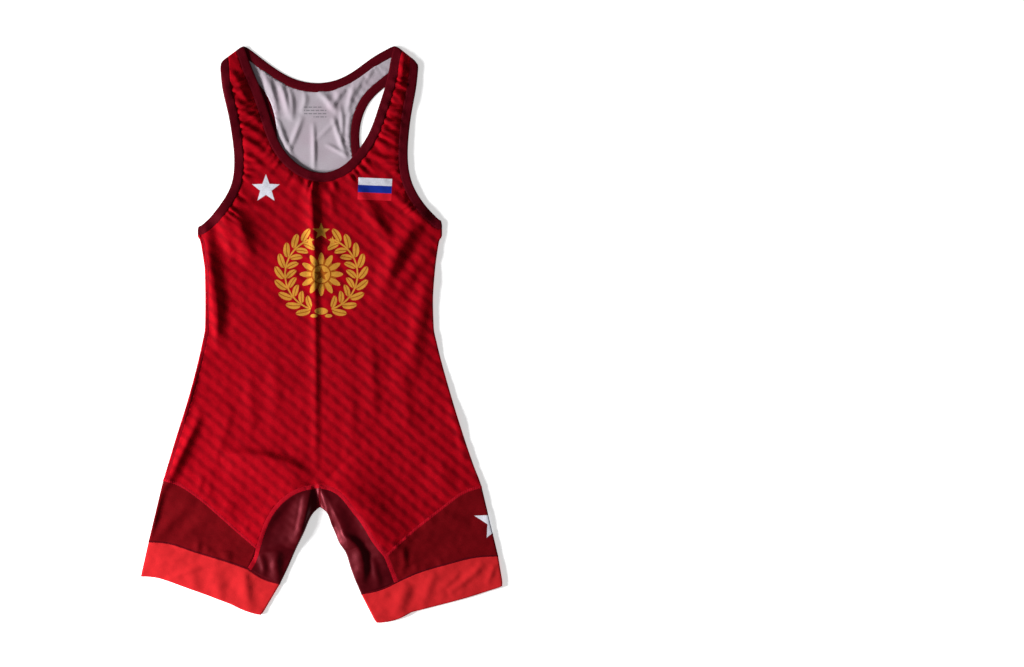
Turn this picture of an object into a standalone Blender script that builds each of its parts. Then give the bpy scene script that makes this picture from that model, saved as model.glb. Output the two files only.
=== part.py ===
"""A wrestling singlet laid flat, face up, as the pieces that are cut and sewn.

Metres, +Z up. +Y runs from the hems to the shoulders and +X to the wearer's left. The back lies on z = 0
and the front lies on it. Each piece is a closed wall of cloth. Its outline is worked out on a flat
pattern, and where the cloth turns under (at the shoulders, the sides and the inner legs) the pattern is
wrapped round a small roll. Tables are in millimetres.
"""

import math

import bmesh
import bpy
import numpy as np
from mathutils.geometry import delaunay_2d_cdt

MM = 0.001

# Driving sizes
WALL = 1.2 * MM
BINDING_WIDTH = 13.0 * MM
BINDING_THICK = 1.8 * MM
SEAM_GAP = 0.3 * MM
AIR = 1.8 * MM  # between the two layers where no fold lifts the front
TUCK_UNDER = 16.6 * MM  # the front's strip beneath the wearer's left side
TUCK_OVER = 4.8 * MM  # the back's strip on top of the wearer's right side
NECK_SKEW = 0.35  # how far a binding leans along the shoulder fold for each step across it
ARMHOLE_SKEW = 0.6
GATHER_HEIGHT = 0.6 * MM
GATHER_PITCH = 6.0 * MM  # half a gather, from crest to dip
GATHER_LENGTH = 12.0 * MM
LEAST_RELIEF = -0.5 * MM

# Levels of the middle of each wall
BACK_LEVEL = WALL / 2
FRONT_LEVEL = BACK_LEVEL + WALL + AIR
BINDING_BACK_LEVEL = BINDING_THICK / 2

# Mesh steps
BINDING_STEP = 10.0 * MM
ROLL_STEP = 1.1 * MM
NEAR_ROLL_STEP = 3.0 * MM
SIDE_STEP = 10.0 * MM
GRID_STEP = 15.0 * MM
FOLD_STEP = 11.0 * MM
FOLD_CLEARANCE = 4.0 * MM
PATH_SKIP = 6  # of a path's close points, one in so many places the gathers
ROLL_SHARES = (0.0, 0.25, 0.5, 0.75, 1.0)
SEAM_CELLS = 11
ARCH_CELLS = 13
DROP_CELLS = 3
GUSSET_CELLS = 4
BAND_CELLS = 3

RIGHT, LEFT = -1, 1  # the wearer's sides, as the sign of x

# Side folds from the underarm to the hem: y, wearer's right, wearer's left (distance from x = 0)
SIDE_FOLDS = (
    (170, 172.0, 166.0),
    (131, 172.0, 166.0),
    (116, 167.5, 160.5),
    (86, 162.0, 156.0),
    (45, 161.5, 153.5),
    (10, 162.0, 154.5),
    (-13, 166.0, 159.0),
    (-80, 182.5, 177.0),
    (-146, 203.0, 197.5),
    (-179, 212.8, 208.8),
    (-212, 222.5, 221.0),
    (-279, 238.0, 235.0),
    (-335, 250.8, 250.0),
    (-360, 250.8, 250.8),
)

# Shoulder folds: outer corner and neck corner, x, y
SHOULDER_FOLDS = {RIGHT: ((-142, 375), (-108, 400.4)), LEFT: ((133, 375), (101, 400.4))}

# Middle of the neck binding from the wearer's right to left, x, y
NECK_FRONT = (
    (-114, 396), (-105, 371), (-88, 329), (-76, 292), (-61, 256), (-37, 230),
    (-3, 217), (30, 226), (53, 248), (70, 274), (85, 314), (97, 355), (106, 396),
)
NECK_BACK = (
    (-114, 396), (-91, 379), (-68, 362), (-40, 347), (-7, 341), (20, 345), (48, 359), (76, 379), (106, 396),
)

# Middle of the armhole bindings from the shoulder to the underarm, x, y
ARMHOLE_FRONT = {
    RIGHT: (
        (-135, 380), (-131.5, 343), (-124, 310), (-118, 277), (-115, 236), (-119, 206), (-136, 174),
        (-155, 152), (-172, 143),
    ),
    LEFT: (
        (128, 380), (124, 343), (118, 310), (113, 270), (113, 232), (119, 206), (138, 174),
        (153, 158), (166, 151),
    ),
}
ARMHOLE_BACK = {
    RIGHT: (
        (-135, 380), (-108, 358), (-83, 331), (-69, 290), (-69, 250), (-80, 215), (-108, 183),
        (-140, 158), (-172, 143),
    ),
    LEFT: (
        (128, 380), (96, 357), (64, 329), (48, 296), (46, 258), (57, 217), (84, 177),
        (122, 156), (166, 151),
    ),
}

CROTCH = (-3, -208)
CROTCH_FOLD = (-3, -239)

# Leg seams on top, and mirrored beneath, x, y
ARCH = {  # front panel to inner leg panel, from the crotch seam to the tip of the side panel
    RIGHT: (CROTCH, (-23, -211), (-41, -218), (-57, -230), (-71, -247), (-81, -268), (-90, -295)),
    LEFT: (CROTCH, (18, -214), (32, -225), (46, -243), (57, -257), (72, -282), (90, -305)),
}
DROP = {  # side panel to inner leg panel, from the tip to the band
    RIGHT: ((-90, -295), (-95, -312), (-102, -324)),
    LEFT: ((90, -305), (97, -323), (104, -342)),
}
SIDE_SEAM = {  # front panel to side panel, from the tip to the side fold
    RIGHT: ((-90, -295), (-127, -263), (-182, -217), (-199, -207), (-225, -199)),
    LEFT: ((90, -305), (128, -270), (170, -237), (199, -217), (228, -209)),
}
BAND_SEAM = {  # side panel to band, from the drop to the side fold
    RIGHT: ((-102, -324), (-127, -315), (-182, -298), (-210, -289), (-242, -286)),
    LEFT: ((104, -342), (128, -331), (177, -316), (210, -308), (248, -306)),
}
HEM_SIDE = {  # the hem below the side panel, from the drop to the side fold
    RIGHT: ((-126, -373), (-155, -362), (-202, -345), (-232, -336), (-255, -335)),
    LEFT: ((124, -384), (163, -374), (207, -362), (235, -353), (255, -347)),
}
BAND_INNER = {RIGHT: ((-80, -338), (-58, -345)), LEFT: ((80, -353), (54, -359))}
HEM_INNER = {RIGHT: ((-104, -383), (-84, -389)), LEFT: ((101, -395), (75, -400))}
INNER_EDGE = {  # the inner leg's fold from the crotch to the band
    RIGHT: (CROTCH_FOLD, (-11, -246), (-23, -270), (-35, -295), (-46, -320), (-58, -345)),
    LEFT: (
        CROTCH_FOLD, (6, -246), (12.5, -262), (19, -277), (24, -289), (31, -299), (38, -318), (54, -359),
    ),
}

# Folds of the front: start, bend and end (x, y each), half width, height
FOLDS = (
    ((-6, 205), (-7, 20), (-4, -190), 4.5, 1.6),
    ((-160, 130), (-143, 60), (-147, -20), 7.0, 2.2),
    ((155, 135), (128, 95), (102, 62), 7.0, 2.4),
    ((158, 45), (146, 15), (150, -30), 7.0, 1.6),
    ((-168, -120), (-188, -180), (-212, -240), 7.0, 2.4),
    ((-212, -215), (-224, -252), (-232, -285), 5.0, 1.6),
    ((148, -175), (158, -215), (166, -250), 7.0, 2.0),
    ((-125, -160), (-70, -172), (-20, -194), 9.0, 1.8),
    ((20, -196), (60, -180), (95, -150), 8.0, 1.4),
    ((-98, 195), (-60, 175), (-30, 178), 8.0, 1.0),
    ((60, 190), (85, 172), (110, 180), 8.0, 1.0),
    ((100, -20), (118, -75), (124, -130), 9.0, 1.2),
    ((-105, -30), (-118, -80), (-130, -120), 9.0, 1.2),
    ((-150, -228), (-176, -250), (-200, -262), 6.0, 1.0),
    ((130, -268), (165, -262), (200, -270), 6.0, 1.2),
    ((-48, -250), (-62, -285), (-84, -315), 5.0, 1.0),
    ((38, -262), (52, -300), (72, -330), 5.0, 1.0),
    ((-160, -318), (-172, -335), (-178, -352), 6.0, 0.9),
    ((150, -332), (158, -348), (160, -366), 6.0, 0.9),
)

# Colour, roughness
MATERIALS = {
    "printed_red": ((0.42, 0.010, 0.020, 1.0), 0.62),
    "maroon": ((0.12, 0.008, 0.012, 1.0), 0.60),
    "dark_maroon_sheen": ((0.07, 0.006, 0.012, 1.0), 0.35),
    "coral": ((0.80, 0.050, 0.060, 1.0), 0.60),
    "binding_maroon": ((0.08, 0.005, 0.010, 1.0), 0.65),
}


# ---------------------------------------------------------------- curves on the flat pattern


def steady_curve(rows, column):
    """A function of y through one column of a table that never overshoots its rows."""
    table = np.array(sorted(rows), float) * MM
    at, values = table[:, 0], table[:, column]
    steps = np.diff(at)
    rises = np.diff(values) / steps
    slopes = np.zeros(len(at))
    same_way = rises[:-1] * rises[1:] > 0
    inner = np.zeros(len(rises) - 1)
    inner[same_way] = 2 / (1 / rises[:-1][same_way] + 1 / rises[1:][same_way])
    slopes[1:-1] = inner

    def value(y):
        y = np.clip(y, at[0], at[-1])
        cell = np.clip(np.searchsorted(at, y) - 1, 0, len(steps) - 1)
        step = steps[cell]
        t = (y - at[cell]) / step
        rise = values[cell + 1] - values[cell]
        ease = t * t * (3 - 2 * t)
        return (
            values[cell]
            + rise * ease
            + step * t * (1 - t) * (slopes[cell] * (1 - t) - slopes[cell + 1] * t)
        )

    return value


def lengths_along(points):
    steps = np.linalg.norm(np.diff(points, axis=0), axis=1)
    return np.concatenate([[0.0], np.cumsum(steps)])


def smooth_path(rows, start=None, end=None, step=0.4 * MM):
    """Closely spaced points on the cubic curve through a table's points, with set end directions."""
    knots = np.array(rows, float) * MM
    count = len(knots)
    spans = np.linalg.norm(np.diff(knots, axis=0), axis=1)
    system = np.zeros((count, count))
    wanted = np.zeros((count, 2))
    for i in range(1, count - 1):
        before, after = spans[i - 1], spans[i]
        system[i, i - 1 : i + 2] = 1 / before, 2 / before + 2 / after, 1 / after
        wanted[i] = 3 * (knots[i] - knots[i - 1]) / before**2 + 3 * (knots[i + 1] - knots[i]) / after**2
    for row, other, direction, chord in (
        (0, 1, start, (knots[1] - knots[0]) / spans[0]),
        (count - 1, count - 2, end, (knots[-1] - knots[-2]) / spans[-1]),
    ):
        if direction is None:
            system[row, row], system[row, other] = 2, 1
            wanted[row] = 3 * chord
        else:
            system[row, row] = 1
            wanted[row] = direction
    slopes = np.linalg.solve(system, wanted)
    pieces = []
    for i, span in enumerate(spans):
        t = np.linspace(0, 1, max(2, math.ceil(span / step)), endpoint=False)[:, None]
        pieces.append(
            knots[i] * (1 + 2 * t) * (1 - t) ** 2
            + knots[i + 1] * t * t * (3 - 2 * t)
            + span * slopes[i] * t * (1 - t) ** 2
            - span * slopes[i + 1] * t * t * (1 - t)
        )
    return np.vstack([*pieces, knots[-1:]])


def spaced(points, cells):
    """The polyline's points at equal lengths, one more than the number of cells."""
    along = lengths_along(points)
    wanted = np.linspace(0, along[-1], cells + 1)
    return np.column_stack([np.interp(wanted, along, points[:, axis]) for axis in (0, 1)])


def tangents(points):
    ahead = np.vstack([points[1:], 2 * points[-1:] - points[-2:-1]])
    behind = np.vstack([2 * points[:1] - points[1:2], points[:-1]])
    return unit(ahead - behind)


def unit(vectors):
    return vectors / np.linalg.norm(vectors, axis=-1, keepdims=True)


def left_of(vectors):
    return np.stack([-vectors[..., 1], vectors[..., 0]], axis=-1)


def shifted(points, distance):
    """The polyline moved to its left, with its corners mitred."""
    edges = unit(np.diff(points, axis=0))
    before = left_of(np.vstack([edges[:1], edges]))
    after = left_of(np.vstack([edges, edges[-1:]]))
    middle = unit(before + after)
    return points + distance * middle / np.sum(middle * before, axis=1, keepdims=True)


def clipped(points, values):
    """The stretch of a polyline where values are positive, ending where they cross zero."""
    kept = []
    for i, (point, value) in enumerate(zip(points, values)):
        if i and (value > 0) != (values[i - 1] > 0):
            share = values[i - 1] / (values[i - 1] - value)
            kept.append(points[i - 1] + share * (point - points[i - 1]))
        if value > 0:
            kept.append(point)
    return np.array(kept)


def inside(points, outline):
    """Whether each point lies inside a closed outline."""
    result = np.zeros(len(points), bool)
    ends = np.roll(outline, -1, axis=0)
    for (x1, y1), (x2, y2) in zip(outline, ends):
        if y1 == y2:
            continue
        crosses = (y1 > points[:, 1]) != (y2 > points[:, 1])
        at = x1 + (points[:, 1] - y1) * (x2 - x1) / (y2 - y1)
        result ^= crosses & (points[:, 0] < at)
    return result


def distances(points, others):
    """From each point to the nearest of the others."""
    if not len(others):
        return np.full(len(points), np.inf)
    return np.concatenate(
        [
            np.linalg.norm(block[:, None] - others[None], axis=2).min(axis=1)
            for block in np.array_split(points, max(1, len(points) // 200))
        ]
    )


# ---------------------------------------------------------------- folds where the cloth turns under


class ShoulderFold:
    """The straight fold over a shoulder."""

    def __init__(self, side):
        outer, inner = (np.array(corner, float) * MM for corner in SHOULDER_FOLDS[side])
        self.corner = outer
        self.axis = unit(inner - outer)
        upright = left_of(self.axis)
        self.outward = upright if upright[1] > 0 else -upright

    def depth(self, points, reach):
        """How far each point lies past the line where the roll starts."""
        return (points - self.corner) @ self.outward + reach


class SideFold:
    """The fold down one side, whose roll turns straight across the body."""

    def __init__(self, side):
        self.side = side
        self.edge = steady_curve(SIDE_FOLDS, 1 if side == RIGHT else 2)
        self.axis = np.array([0.0, 1.0])
        self.outward = np.array([float(side), 0.0])

    def depth(self, points, reach):
        return self.side * points[:, 0] - self.edge(points[:, 1]) + reach


SHOULDERS = {side: ShoulderFold(side) for side in (RIGHT, LEFT)}
SIDES = {side: SideFold(side) for side in (RIGHT, LEFT)}
ROLL = (FRONT_LEVEL - BACK_LEVEL) / 2
ROLL_LENGTH = math.pi * ROLL
REACH = ROLL + WALL / 2


# ---------------------------------------------------------------- bindings' paths


class BindingHalf:
    """One layer's half of a binding: its stations and, at each, the way across towards the cloth."""

    def __init__(self, rows, ends, skew, cloth_side, layer, step):
        roll = (FRONT_LEVEL - BINDING_BACK_LEVEL) / 2
        reach = roll + BINDING_THICK / 2
        directions = [self.crossing(fold, skew, layer) for fold in ends]
        dense = smooth_path(rows, -directions[0], directions[1])
        depths = np.stack([fold.depth(dense, reach) for fold in ends])
        nearest = depths.argmax(axis=0)
        depth = depths.max(axis=0)
        steps = np.interp(depth / MM, (-18, -6, -1.5), (step, NEAR_ROLL_STEP, ROLL_STEP))
        along = lengths_along(dense)
        counted = np.concatenate([[0], np.cumsum(np.diff(along) / ((steps[1:] + steps[:-1]) / 2))])
        count = math.ceil(counted[-1])
        self.counted = counted * count / counted[-1]
        self.dense = dense
        self.calm = np.clip((-depth / MM - 18) / 20, 0, 1)
        picked = np.interp(np.arange(count + 1), self.counted, np.arange(len(dense)))
        across = cloth_side * left_of(tangents(dense))
        near = np.clip((depth / MM + 16) / 12, 0, 1)[:, None]
        near = near * near * (3 - 2 * near)
        axes = np.array([fold.axis for fold in ends])[nearest]
        axes = axes * np.sign(np.sum(axes * across, axis=1, keepdims=True))
        leaning = unit(across * (1 - near) + axes * near)
        leaning = leaning / np.sum(leaning * across, axis=1, keepdims=True)
        self.centres = self.pick(dense, picked)
        self.across = self.pick(leaning, picked)
        self.folds = ends

    @staticmethod
    def crossing(fold, skew, layer):
        """The outward direction in which a binding crosses a fold."""
        lean = skew if isinstance(fold, ShoulderFold) else 0.0
        return unit(fold.outward + layer * lean * fold.axis)

    @staticmethod
    def pick(values, places):
        index = np.arange(len(values))
        return np.column_stack([np.interp(places, index, values[:, axis]) for axis in (0, 1)])

    def beside(self, distance):
        """The stations' points at a distance from the middle, towards the cloth."""
        return self.centres + distance * self.across

    def cloth_edge(self):
        """The edge of the cloth beside this binding, run on a little past both folds."""
        edge = self.beside(BINDING_WIDTH / 2 + SEAM_GAP)
        before = edge[0] + (edge[0] - edge[1])
        after = edge[-1] + (edge[-1] - edge[-2])
        return np.vstack([before, edge, after])


FRONT, BACK = 1, -1


def binding_halves(front_rows, back_rows, ends, skew, cloth_side):
    return {
        FRONT: BindingHalf(front_rows, ends, skew, cloth_side, FRONT, GATHER_PITCH),
        BACK: BindingHalf(back_rows, ends, skew, cloth_side, BACK, BINDING_STEP),
    }


NECK = binding_halves(NECK_FRONT, NECK_BACK, (SHOULDERS[RIGHT], SHOULDERS[LEFT]), NECK_SKEW, -1)
ARMHOLES = {
    side: binding_halves(
        ARMHOLE_FRONT[side], ARMHOLE_BACK[side], (SHOULDERS[side], SIDES[side]), ARMHOLE_SKEW, -side
    )
    for side in (RIGHT, LEFT)
}
GATHERED = (NECK[FRONT], ARMHOLES[RIGHT][FRONT], ARMHOLES[LEFT][FRONT])


# ---------------------------------------------------------------- height of the front layer


def nearest_on(points, line):
    """From each point to a polyline: the distance, and the place counted in the line's points."""
    steps = np.diff(line, axis=0)
    offsets = points[:, None] - line[None, :-1]
    shares = np.clip(np.sum(offsets * steps, axis=2) / np.sum(steps * steps, axis=1), 0, 1)
    gaps = np.linalg.norm(offsets - shares[..., None] * steps, axis=2)
    rows, nearest = np.arange(len(points)), gaps.argmin(axis=1)
    return gaps[rows, nearest], nearest + shares[rows, nearest]


def bent_line(start, bend, end, count=15):
    """Points on the arc that leaves start for bend and arrives at end."""
    t = np.linspace(0, 1, count)[:, None]
    start, bend, end = (np.array(corner, float) * MM for corner in (start, bend, end))
    return start * (1 - t) ** 2 + 2 * bend * t * (1 - t) + end * t * t


def fold_relief(points):
    """How far the large folds lift the cloth."""
    lift = np.zeros(len(points))
    for start, bend, end, half_width, height in FOLDS:
        line = bent_line(start, bend, end)
        gap, place = nearest_on(points, line)
        place = np.clip(place / (len(line) - 1), 0.04, 0.96)
        lift += height * MM * np.exp(-((gap / (half_width * MM)) ** 2)) * np.sin(np.pi * place) ** 0.6
    return lift


def gather_relief(points):
    """The small gathers that stand beside the front's bindings."""
    lift = np.zeros(len(points))
    for half in GATHERED:
        path, counted, calm = (values[::PATH_SKIP] for values in (half.dense, half.counted, half.calm))
        gap, place = nearest_on(points, path)
        index = np.arange(len(path))
        count = np.interp(place, index, counted)
        strength = np.interp(place, index, calm) * (0.65 + 0.35 * np.sin(2.3 * count))
        away = (gap - BINDING_WIDTH / 2) / GATHER_LENGTH
        lift += GATHER_HEIGHT * strength * np.cos(np.pi * count) * np.exp(-(np.maximum(away, 0) ** 2))
    return lift


def front_height(points, gathers=True):
    """The level of the middle of the front layer's wall."""
    blocks = []
    for block in np.array_split(points, max(1, len(points) // 400)):
        relief = fold_relief(block)
        if gathers:
            relief = relief + gather_relief(block)
        blocks.append(relief)
    return FRONT_LEVEL + np.maximum(np.concatenate(blocks), LEAST_RELIEF)


# ---------------------------------------------------------------- from the pattern to the cloth


def placed(points, lift, folds, layer, back_level=BACK_LEVEL, half=WALL / 2, gathers=True):
    """Wraps pattern points of one layer over the folds, lifted out from the middle of the wall."""
    lift = np.broadcast_to(lift, len(points))
    if layer == FRONT:
        height = front_height(points, gathers) + lift
    else:
        height = back_level - lift
    result = np.column_stack([points, height])
    roll = (FRONT_LEVEL - back_level) / 2
    for fold in folds:
        depth = fold.depth(points, roll + half)
        turned = depth > 1e-9
        if not turned.any():
            continue
        past, out = depth[turned], lift[turned]
        starts = points[turned] - past[:, None] * fold.outward
        angle = np.minimum(past / roll, math.pi)
        beyond = np.maximum(past - math.pi * roll, 0)
        along = (roll + out) * np.sin(angle) - beyond
        flat = starts + along[:, None] * fold.outward
        tall = (front_height(starts, gathers) - back_level) / 2
        level = back_level + tall + layer * (tall + out) * np.cos(angle)
        if layer == BACK:
            level = np.where(beyond > 0, front_height(flat, gathers) + out, level)
        result[turned] = np.column_stack([flat, level])
    return result


def unfolded(points, side):
    """Pattern points for points on the other layer, inside the start of a side's roll."""
    fold = SIDES[side]
    inwards = -fold.depth(points, REACH)
    x = side * (fold.edge(points[:, 1]) - REACH + ROLL_LENGTH + inwards)
    return np.column_stack([x, points[:, 1]])


def roll_line(side, y):
    """The pattern points straight across a side's roll at one y, from its start to its end."""
    start = SIDES[side].edge(y) - REACH
    return np.array([(side * (start + share * ROLL_LENGTH), y) for share in ROLL_SHARES])


# ---------------------------------------------------------------- closed walls


def make_piece(name, points, faces, material, parent):
    mesh = bpy.data.meshes.new(name)
    mesh.from_pydata([tuple(map(float, point)) for point in points], [], faces)
    form = bmesh.new()
    form.from_mesh(mesh)
    bmesh.ops.recalc_face_normals(form, faces=form.faces[:])
    form.to_mesh(mesh)
    form.free()
    mesh.shade_smooth()
    mesh.set_sharp_from_angle(angle=math.radians(50))
    mesh.materials.append(material)
    piece = bpy.data.objects.new(name, mesh)
    piece.parent = parent
    bpy.context.scene.collection.objects.link(piece)
    return piece


def wall_from_grid(outer, inner, round_trip):
    """Points and faces of the wall between two grids of points, closed at their borders."""
    rows, columns = outer.shape[:2]
    points = np.vstack([outer.reshape(-1, 3), inner.reshape(-1, 3)])
    shift = rows * columns
    faces = []
    for row in range(rows - 1):
        for column in range(columns if round_trip else columns - 1):
            a = row * columns + column
            b = row * columns + (column + 1) % columns
            faces.append((a, b, b + columns, a + columns))
            faces.append((shift + a, shift + a + columns, shift + b + columns, shift + b))
    for first in (0, (rows - 1) * columns):
        for column in range(columns if round_trip else columns - 1):
            a = first + column
            b = first + (column + 1) % columns
            faces.append((a, b, shift + b, shift + a))
    if not round_trip:
        for first in (0, columns - 1):
            for row in range(rows - 1):
                a = first + row * columns
                b = a + columns
                faces.append((a, b, shift + b, shift + a))
    return points, faces


def wall_from_outline(outline, features, lines, folds, layer):
    """Points and faces of a panel's wall: its outline filled with triangles, then wrapped."""
    low, high = outline.min(axis=0), outline.max(axis=0)
    rows = np.arange(low[1], high[1], GRID_STEP * math.sqrt(0.75))
    grid = np.array(
        [
            (x + (i % 2) * GRID_STEP / 2, y)
            for i, y in enumerate(rows)
            for x in np.arange(low[0], high[0], GRID_STEP)
        ]
    )
    fixed = np.vstack([outline, *features, *lines])
    for side in (RIGHT, LEFT):
        grid = grid[SIDES[side].depth(grid, REACH) < -GRID_STEP / 4]
    grid = grid[inside(grid, outline)]
    if layer == FRONT:
        grid = grid[distances(grid, fixed) > 0.62 * GRID_STEP]
    else:
        grid = grid[distances(grid, fixed) > 3 * GRID_STEP][::4]
    verts = [*outline]
    edges = [(i, (i + 1) % len(outline)) for i in range(len(outline))]
    for line in lines:
        first = len(verts)
        verts.extend(line)
        edges.extend((first + i, first + i + 1) for i in range(len(line) - 1))
    for group in (*features, grid):
        verts.extend(group)
    made = delaunay_2d_cdt([tuple(map(float, v)) for v in verts], edges, [], 0, 1e-6)
    flat = np.array([tuple(v) for v in made[0]])
    triangles = np.array(made[2])
    middles = flat[triangles].mean(axis=1)
    triangles = triangles[inside(middles, outline)]
    used, index = np.unique(triangles, return_inverse=True)
    flat, triangles = flat[used], index.reshape(-1, 3)
    outer = placed(flat, WALL / 2, folds, layer)
    inner = placed(flat, -WALL / 2, folds, layer)
    shift = len(flat)
    faces = [tuple(map(int, t)) for t in triangles]
    faces += [tuple(int(i) + shift for i in t[::-1]) for t in triangles]
    ends = np.vstack([triangles[:, [0, 1]], triangles[:, [1, 2]], triangles[:, [2, 0]]])
    _, place, count = np.unique(np.sort(ends, axis=1), axis=0, return_inverse=True, return_counts=True)
    for a, b in ends[count[place.reshape(-1)] == 1]:
        faces.append((int(a), int(a) + shift, int(b) + shift, int(b)))
    return np.vstack([outer, inner]), faces


# ---------------------------------------------------------------- leg seams, shared by their neighbours


class LegSeams:
    """The seam lines of one leg, each with the same points for both of its neighbours."""

    def __init__(self, side):
        self.side = side
        self.fold = SIDES[side]
        self.arch = spaced(smooth_path(ARCH[side]), ARCH_CELLS)
        self.drop = spaced(smooth_path(DROP[side]), DROP_CELLS)
        self.side_seam = self.to_roll(SIDE_SEAM[side])
        self.band_seam = self.to_roll(BAND_SEAM[side])
        self.hem_side = self.to_roll(HEM_SIDE[side])
        inner = smooth_path(INNER_EDGE[side])
        self.inner = spaced(inner, ARCH_CELLS + DROP_CELLS)
        along = tangents(self.inner)
        along[0] = (side, 0)
        self.inwards = side * left_of(along)
        self.inner_start = self.inner + REACH * self.inwards
        self.band_inner = self.inner_run(self.band_seam[0], BAND_INNER[side])
        self.hem_inner = self.inner_run(self.hem_side[0], HEM_INNER[side])

    def to_roll(self, rows):
        path = smooth_path(rows)
        return spaced(clipped(path, -self.fold.depth(path, REACH)), SEAM_CELLS)

    def inner_run(self, start, rows):
        end = np.array(rows[-1], float) * MM + REACH * self.inwards[-1]
        middle = np.array(rows[0], float) * MM
        return spaced(smooth_path(np.array([start, middle, end]) / MM), GUSSET_CELLS)


def inset(grid, sides):
    """A grid of flat points with some of its borders moved in by half a seam's gap."""
    moved = grid.copy()
    views = {
        "first_row": (grid[0], grid[1], (0, slice(None))),
        "last_row": (grid[-1], grid[-2], (-1, slice(None))),
        "first_column": (grid[:, 0], grid[:, 1], (slice(None), 0)),
        "last_column": (grid[:, -1], grid[:, -2], (slice(None), -1)),
    }
    for side in sides:
        border, within, place = views[side]
        normal = left_of(tangents(border))
        facing = np.sign(np.sum(normal * (within - border), axis=1, keepdims=True))
        moved[place] += normal * facing * SEAM_GAP / 2
    return moved


def between(first, last, cells):
    """Rows of points from one polyline to another."""
    shares = np.linspace(0, 1, cells + 1)[:, None, None]
    return first[None] * (1 - shares) + last[None] * shares


def tucked(section, outward, lift):
    """A section of cloth on top, round the roll at its last point, and back beneath."""
    top = np.column_stack([section, front_height(section) + lift])
    under = np.column_stack([section, np.full(len(section), BACK_LEVEL - lift)])[::-1]
    return np.vstack([top, rolled(section[-1], outward, lift), under])


def rolled(start, outward, lift):
    """The points between the two ends of the roll that starts at a point."""
    tall = (front_height(start[None])[0] - BACK_LEVEL) / 2
    points = []
    for share in ROLL_SHARES[1:-1]:
        angle = share * math.pi
        x, y = start + outward * (ROLL + lift) * math.sin(angle)
        points.append((x, y, BACK_LEVEL + tall + (tall + lift) * math.cos(angle)))
    return np.array(points)


# ---------------------------------------------------------------- the pieces


def side_panel(seams):
    """The outer thigh panel, from its tip on top, round the side fold, to its tip beneath."""
    flat = between(seams.side_seam, seams.band_seam, DROP_CELLS)
    flat[:, 0] = seams.drop
    flat = inset(flat, ("first_row", "last_row", "first_column"))
    skins = [
        np.array([tucked(row, seams.fold.outward, lift) for row in flat])
        for lift in (WALL / 2, -WALL / 2)
    ]
    return wall_from_grid(*skins, round_trip=False)


def inner_panel(seams):
    """The inner leg panel, from its seam on top, round the inner leg, to its seam beneath."""
    border = np.vstack([seams.arch, seams.drop[1:]])
    shares = np.linspace(0, 1, GUSSET_CELLS + 1)[None, :, None]
    flat = border[:, None] * (1 - shares) + seams.inner_start[:, None] * shares
    flat[-1] = seams.band_inner
    flat = inset(flat, ("first_row", "last_row", "first_column"))
    skins = [
        np.array([tucked(row, -inwards, lift) for row, inwards in zip(flat, seams.inwards)])
        for lift in (WALL / 2, -WALL / 2)
    ]
    return wall_from_grid(*skins, round_trip=False)


def leg_band(seams):
    """The leg band, a flattened tube open at both ends."""
    top = np.vstack([seams.band_seam[::-1], seams.band_inner[1:]])
    hem = np.vstack([seams.hem_side[::-1], seams.hem_inner[1:]])
    flat = inset(between(top, hem, BAND_CELLS), ("first_row",))
    skins = []
    for lift in (WALL / 2, -WALL / 2):
        rows = []
        for row in flat:
            round_inner = tucked(row, -seams.inwards[-1], lift)
            round_outer = rolled(row[0], seams.fold.outward, lift)[::-1]
            rows.append(np.vstack([round_inner, round_outer]))
        skins.append(np.array(rows))
    return wall_from_grid(*skins, round_trip=True)


def binding_ring(halves):
    """A binding: a flat rounded band along its front half and back along its back half."""
    profile = ((-0.5, 0.0), (-0.34, 0.5), (0.34, 0.5), (0.5, 0.0), (0.34, -0.5), (-0.34, -0.5))
    loops = []
    for across, up in profile:
        line = []
        for layer, cut in ((FRONT, slice(None)), (BACK, slice(-2, 0, -1))):
            half = halves[layer]
            spots = placed(
                half.beside(across * BINDING_WIDTH),
                up * BINDING_THICK,
                half.folds,
                layer,
                BINDING_BACK_LEVEL,
                BINDING_THICK / 2,
                gathers=False,
            )
            line.append(spots[cut])
        loops.append(np.vstack(line))
    sections = np.array(loops).transpose(1, 0, 2)
    count, sides = sections.shape[:2]
    faces = []
    for i in range(count):
        for j in range(sides):
            after, beside = (i + 1) % count, (j + 1) % sides
            faces.append((i * sides + j, i * sides + beside, after * sides + beside, after * sides + j))
    return sections.reshape(-1, 3), faces


def shoulder_clip(edge, side):
    """Cloth edge points up to the shoulder seam, in the middle of the roll."""
    limit = ROLL_LENGTH / 2 - SEAM_GAP / 2
    return clipped(edge, limit - SHOULDERS[side].depth(edge, REACH))


def shoulder_lines(first, second, side):
    """Rows across a strap where its shoulder roll starts and halfway to the seam."""
    lines = []
    for depth in (0.0, ROLL_LENGTH / 4):
        ends = []
        for edge in (first, second):
            values = SHOULDERS[side].depth(edge, REACH) - depth
            ends.append(clipped(edge, values)[0 if values[-1] > 0 else -1])
        lines.append(spaced(np.array(ends), 3))
    return lines


def side_rows(side, top, bottom):
    """Rows down a side's roll, every one between the same two levels."""
    count = math.ceil((top - bottom) / SIDE_STEP)
    levels = np.linspace(top, bottom, count + 1)
    return [np.array([roll_line(side, y)[i] for y in levels]) for i in range(len(ROLL_SHARES))]


def seam_down(side, inwards, top, bottom):
    """Points down a side seam that lies a distance in from the side fold."""
    count = math.ceil((top - bottom) / SIDE_STEP)
    levels = np.linspace(top, bottom, count + 1)
    return np.column_stack([side * (SIDES[side].edge(levels) - inwards), levels])


def from_seam(points, side, inwards):
    """How far each point lies outside a side seam."""
    return SIDES[side].depth(points, inwards)


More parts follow.
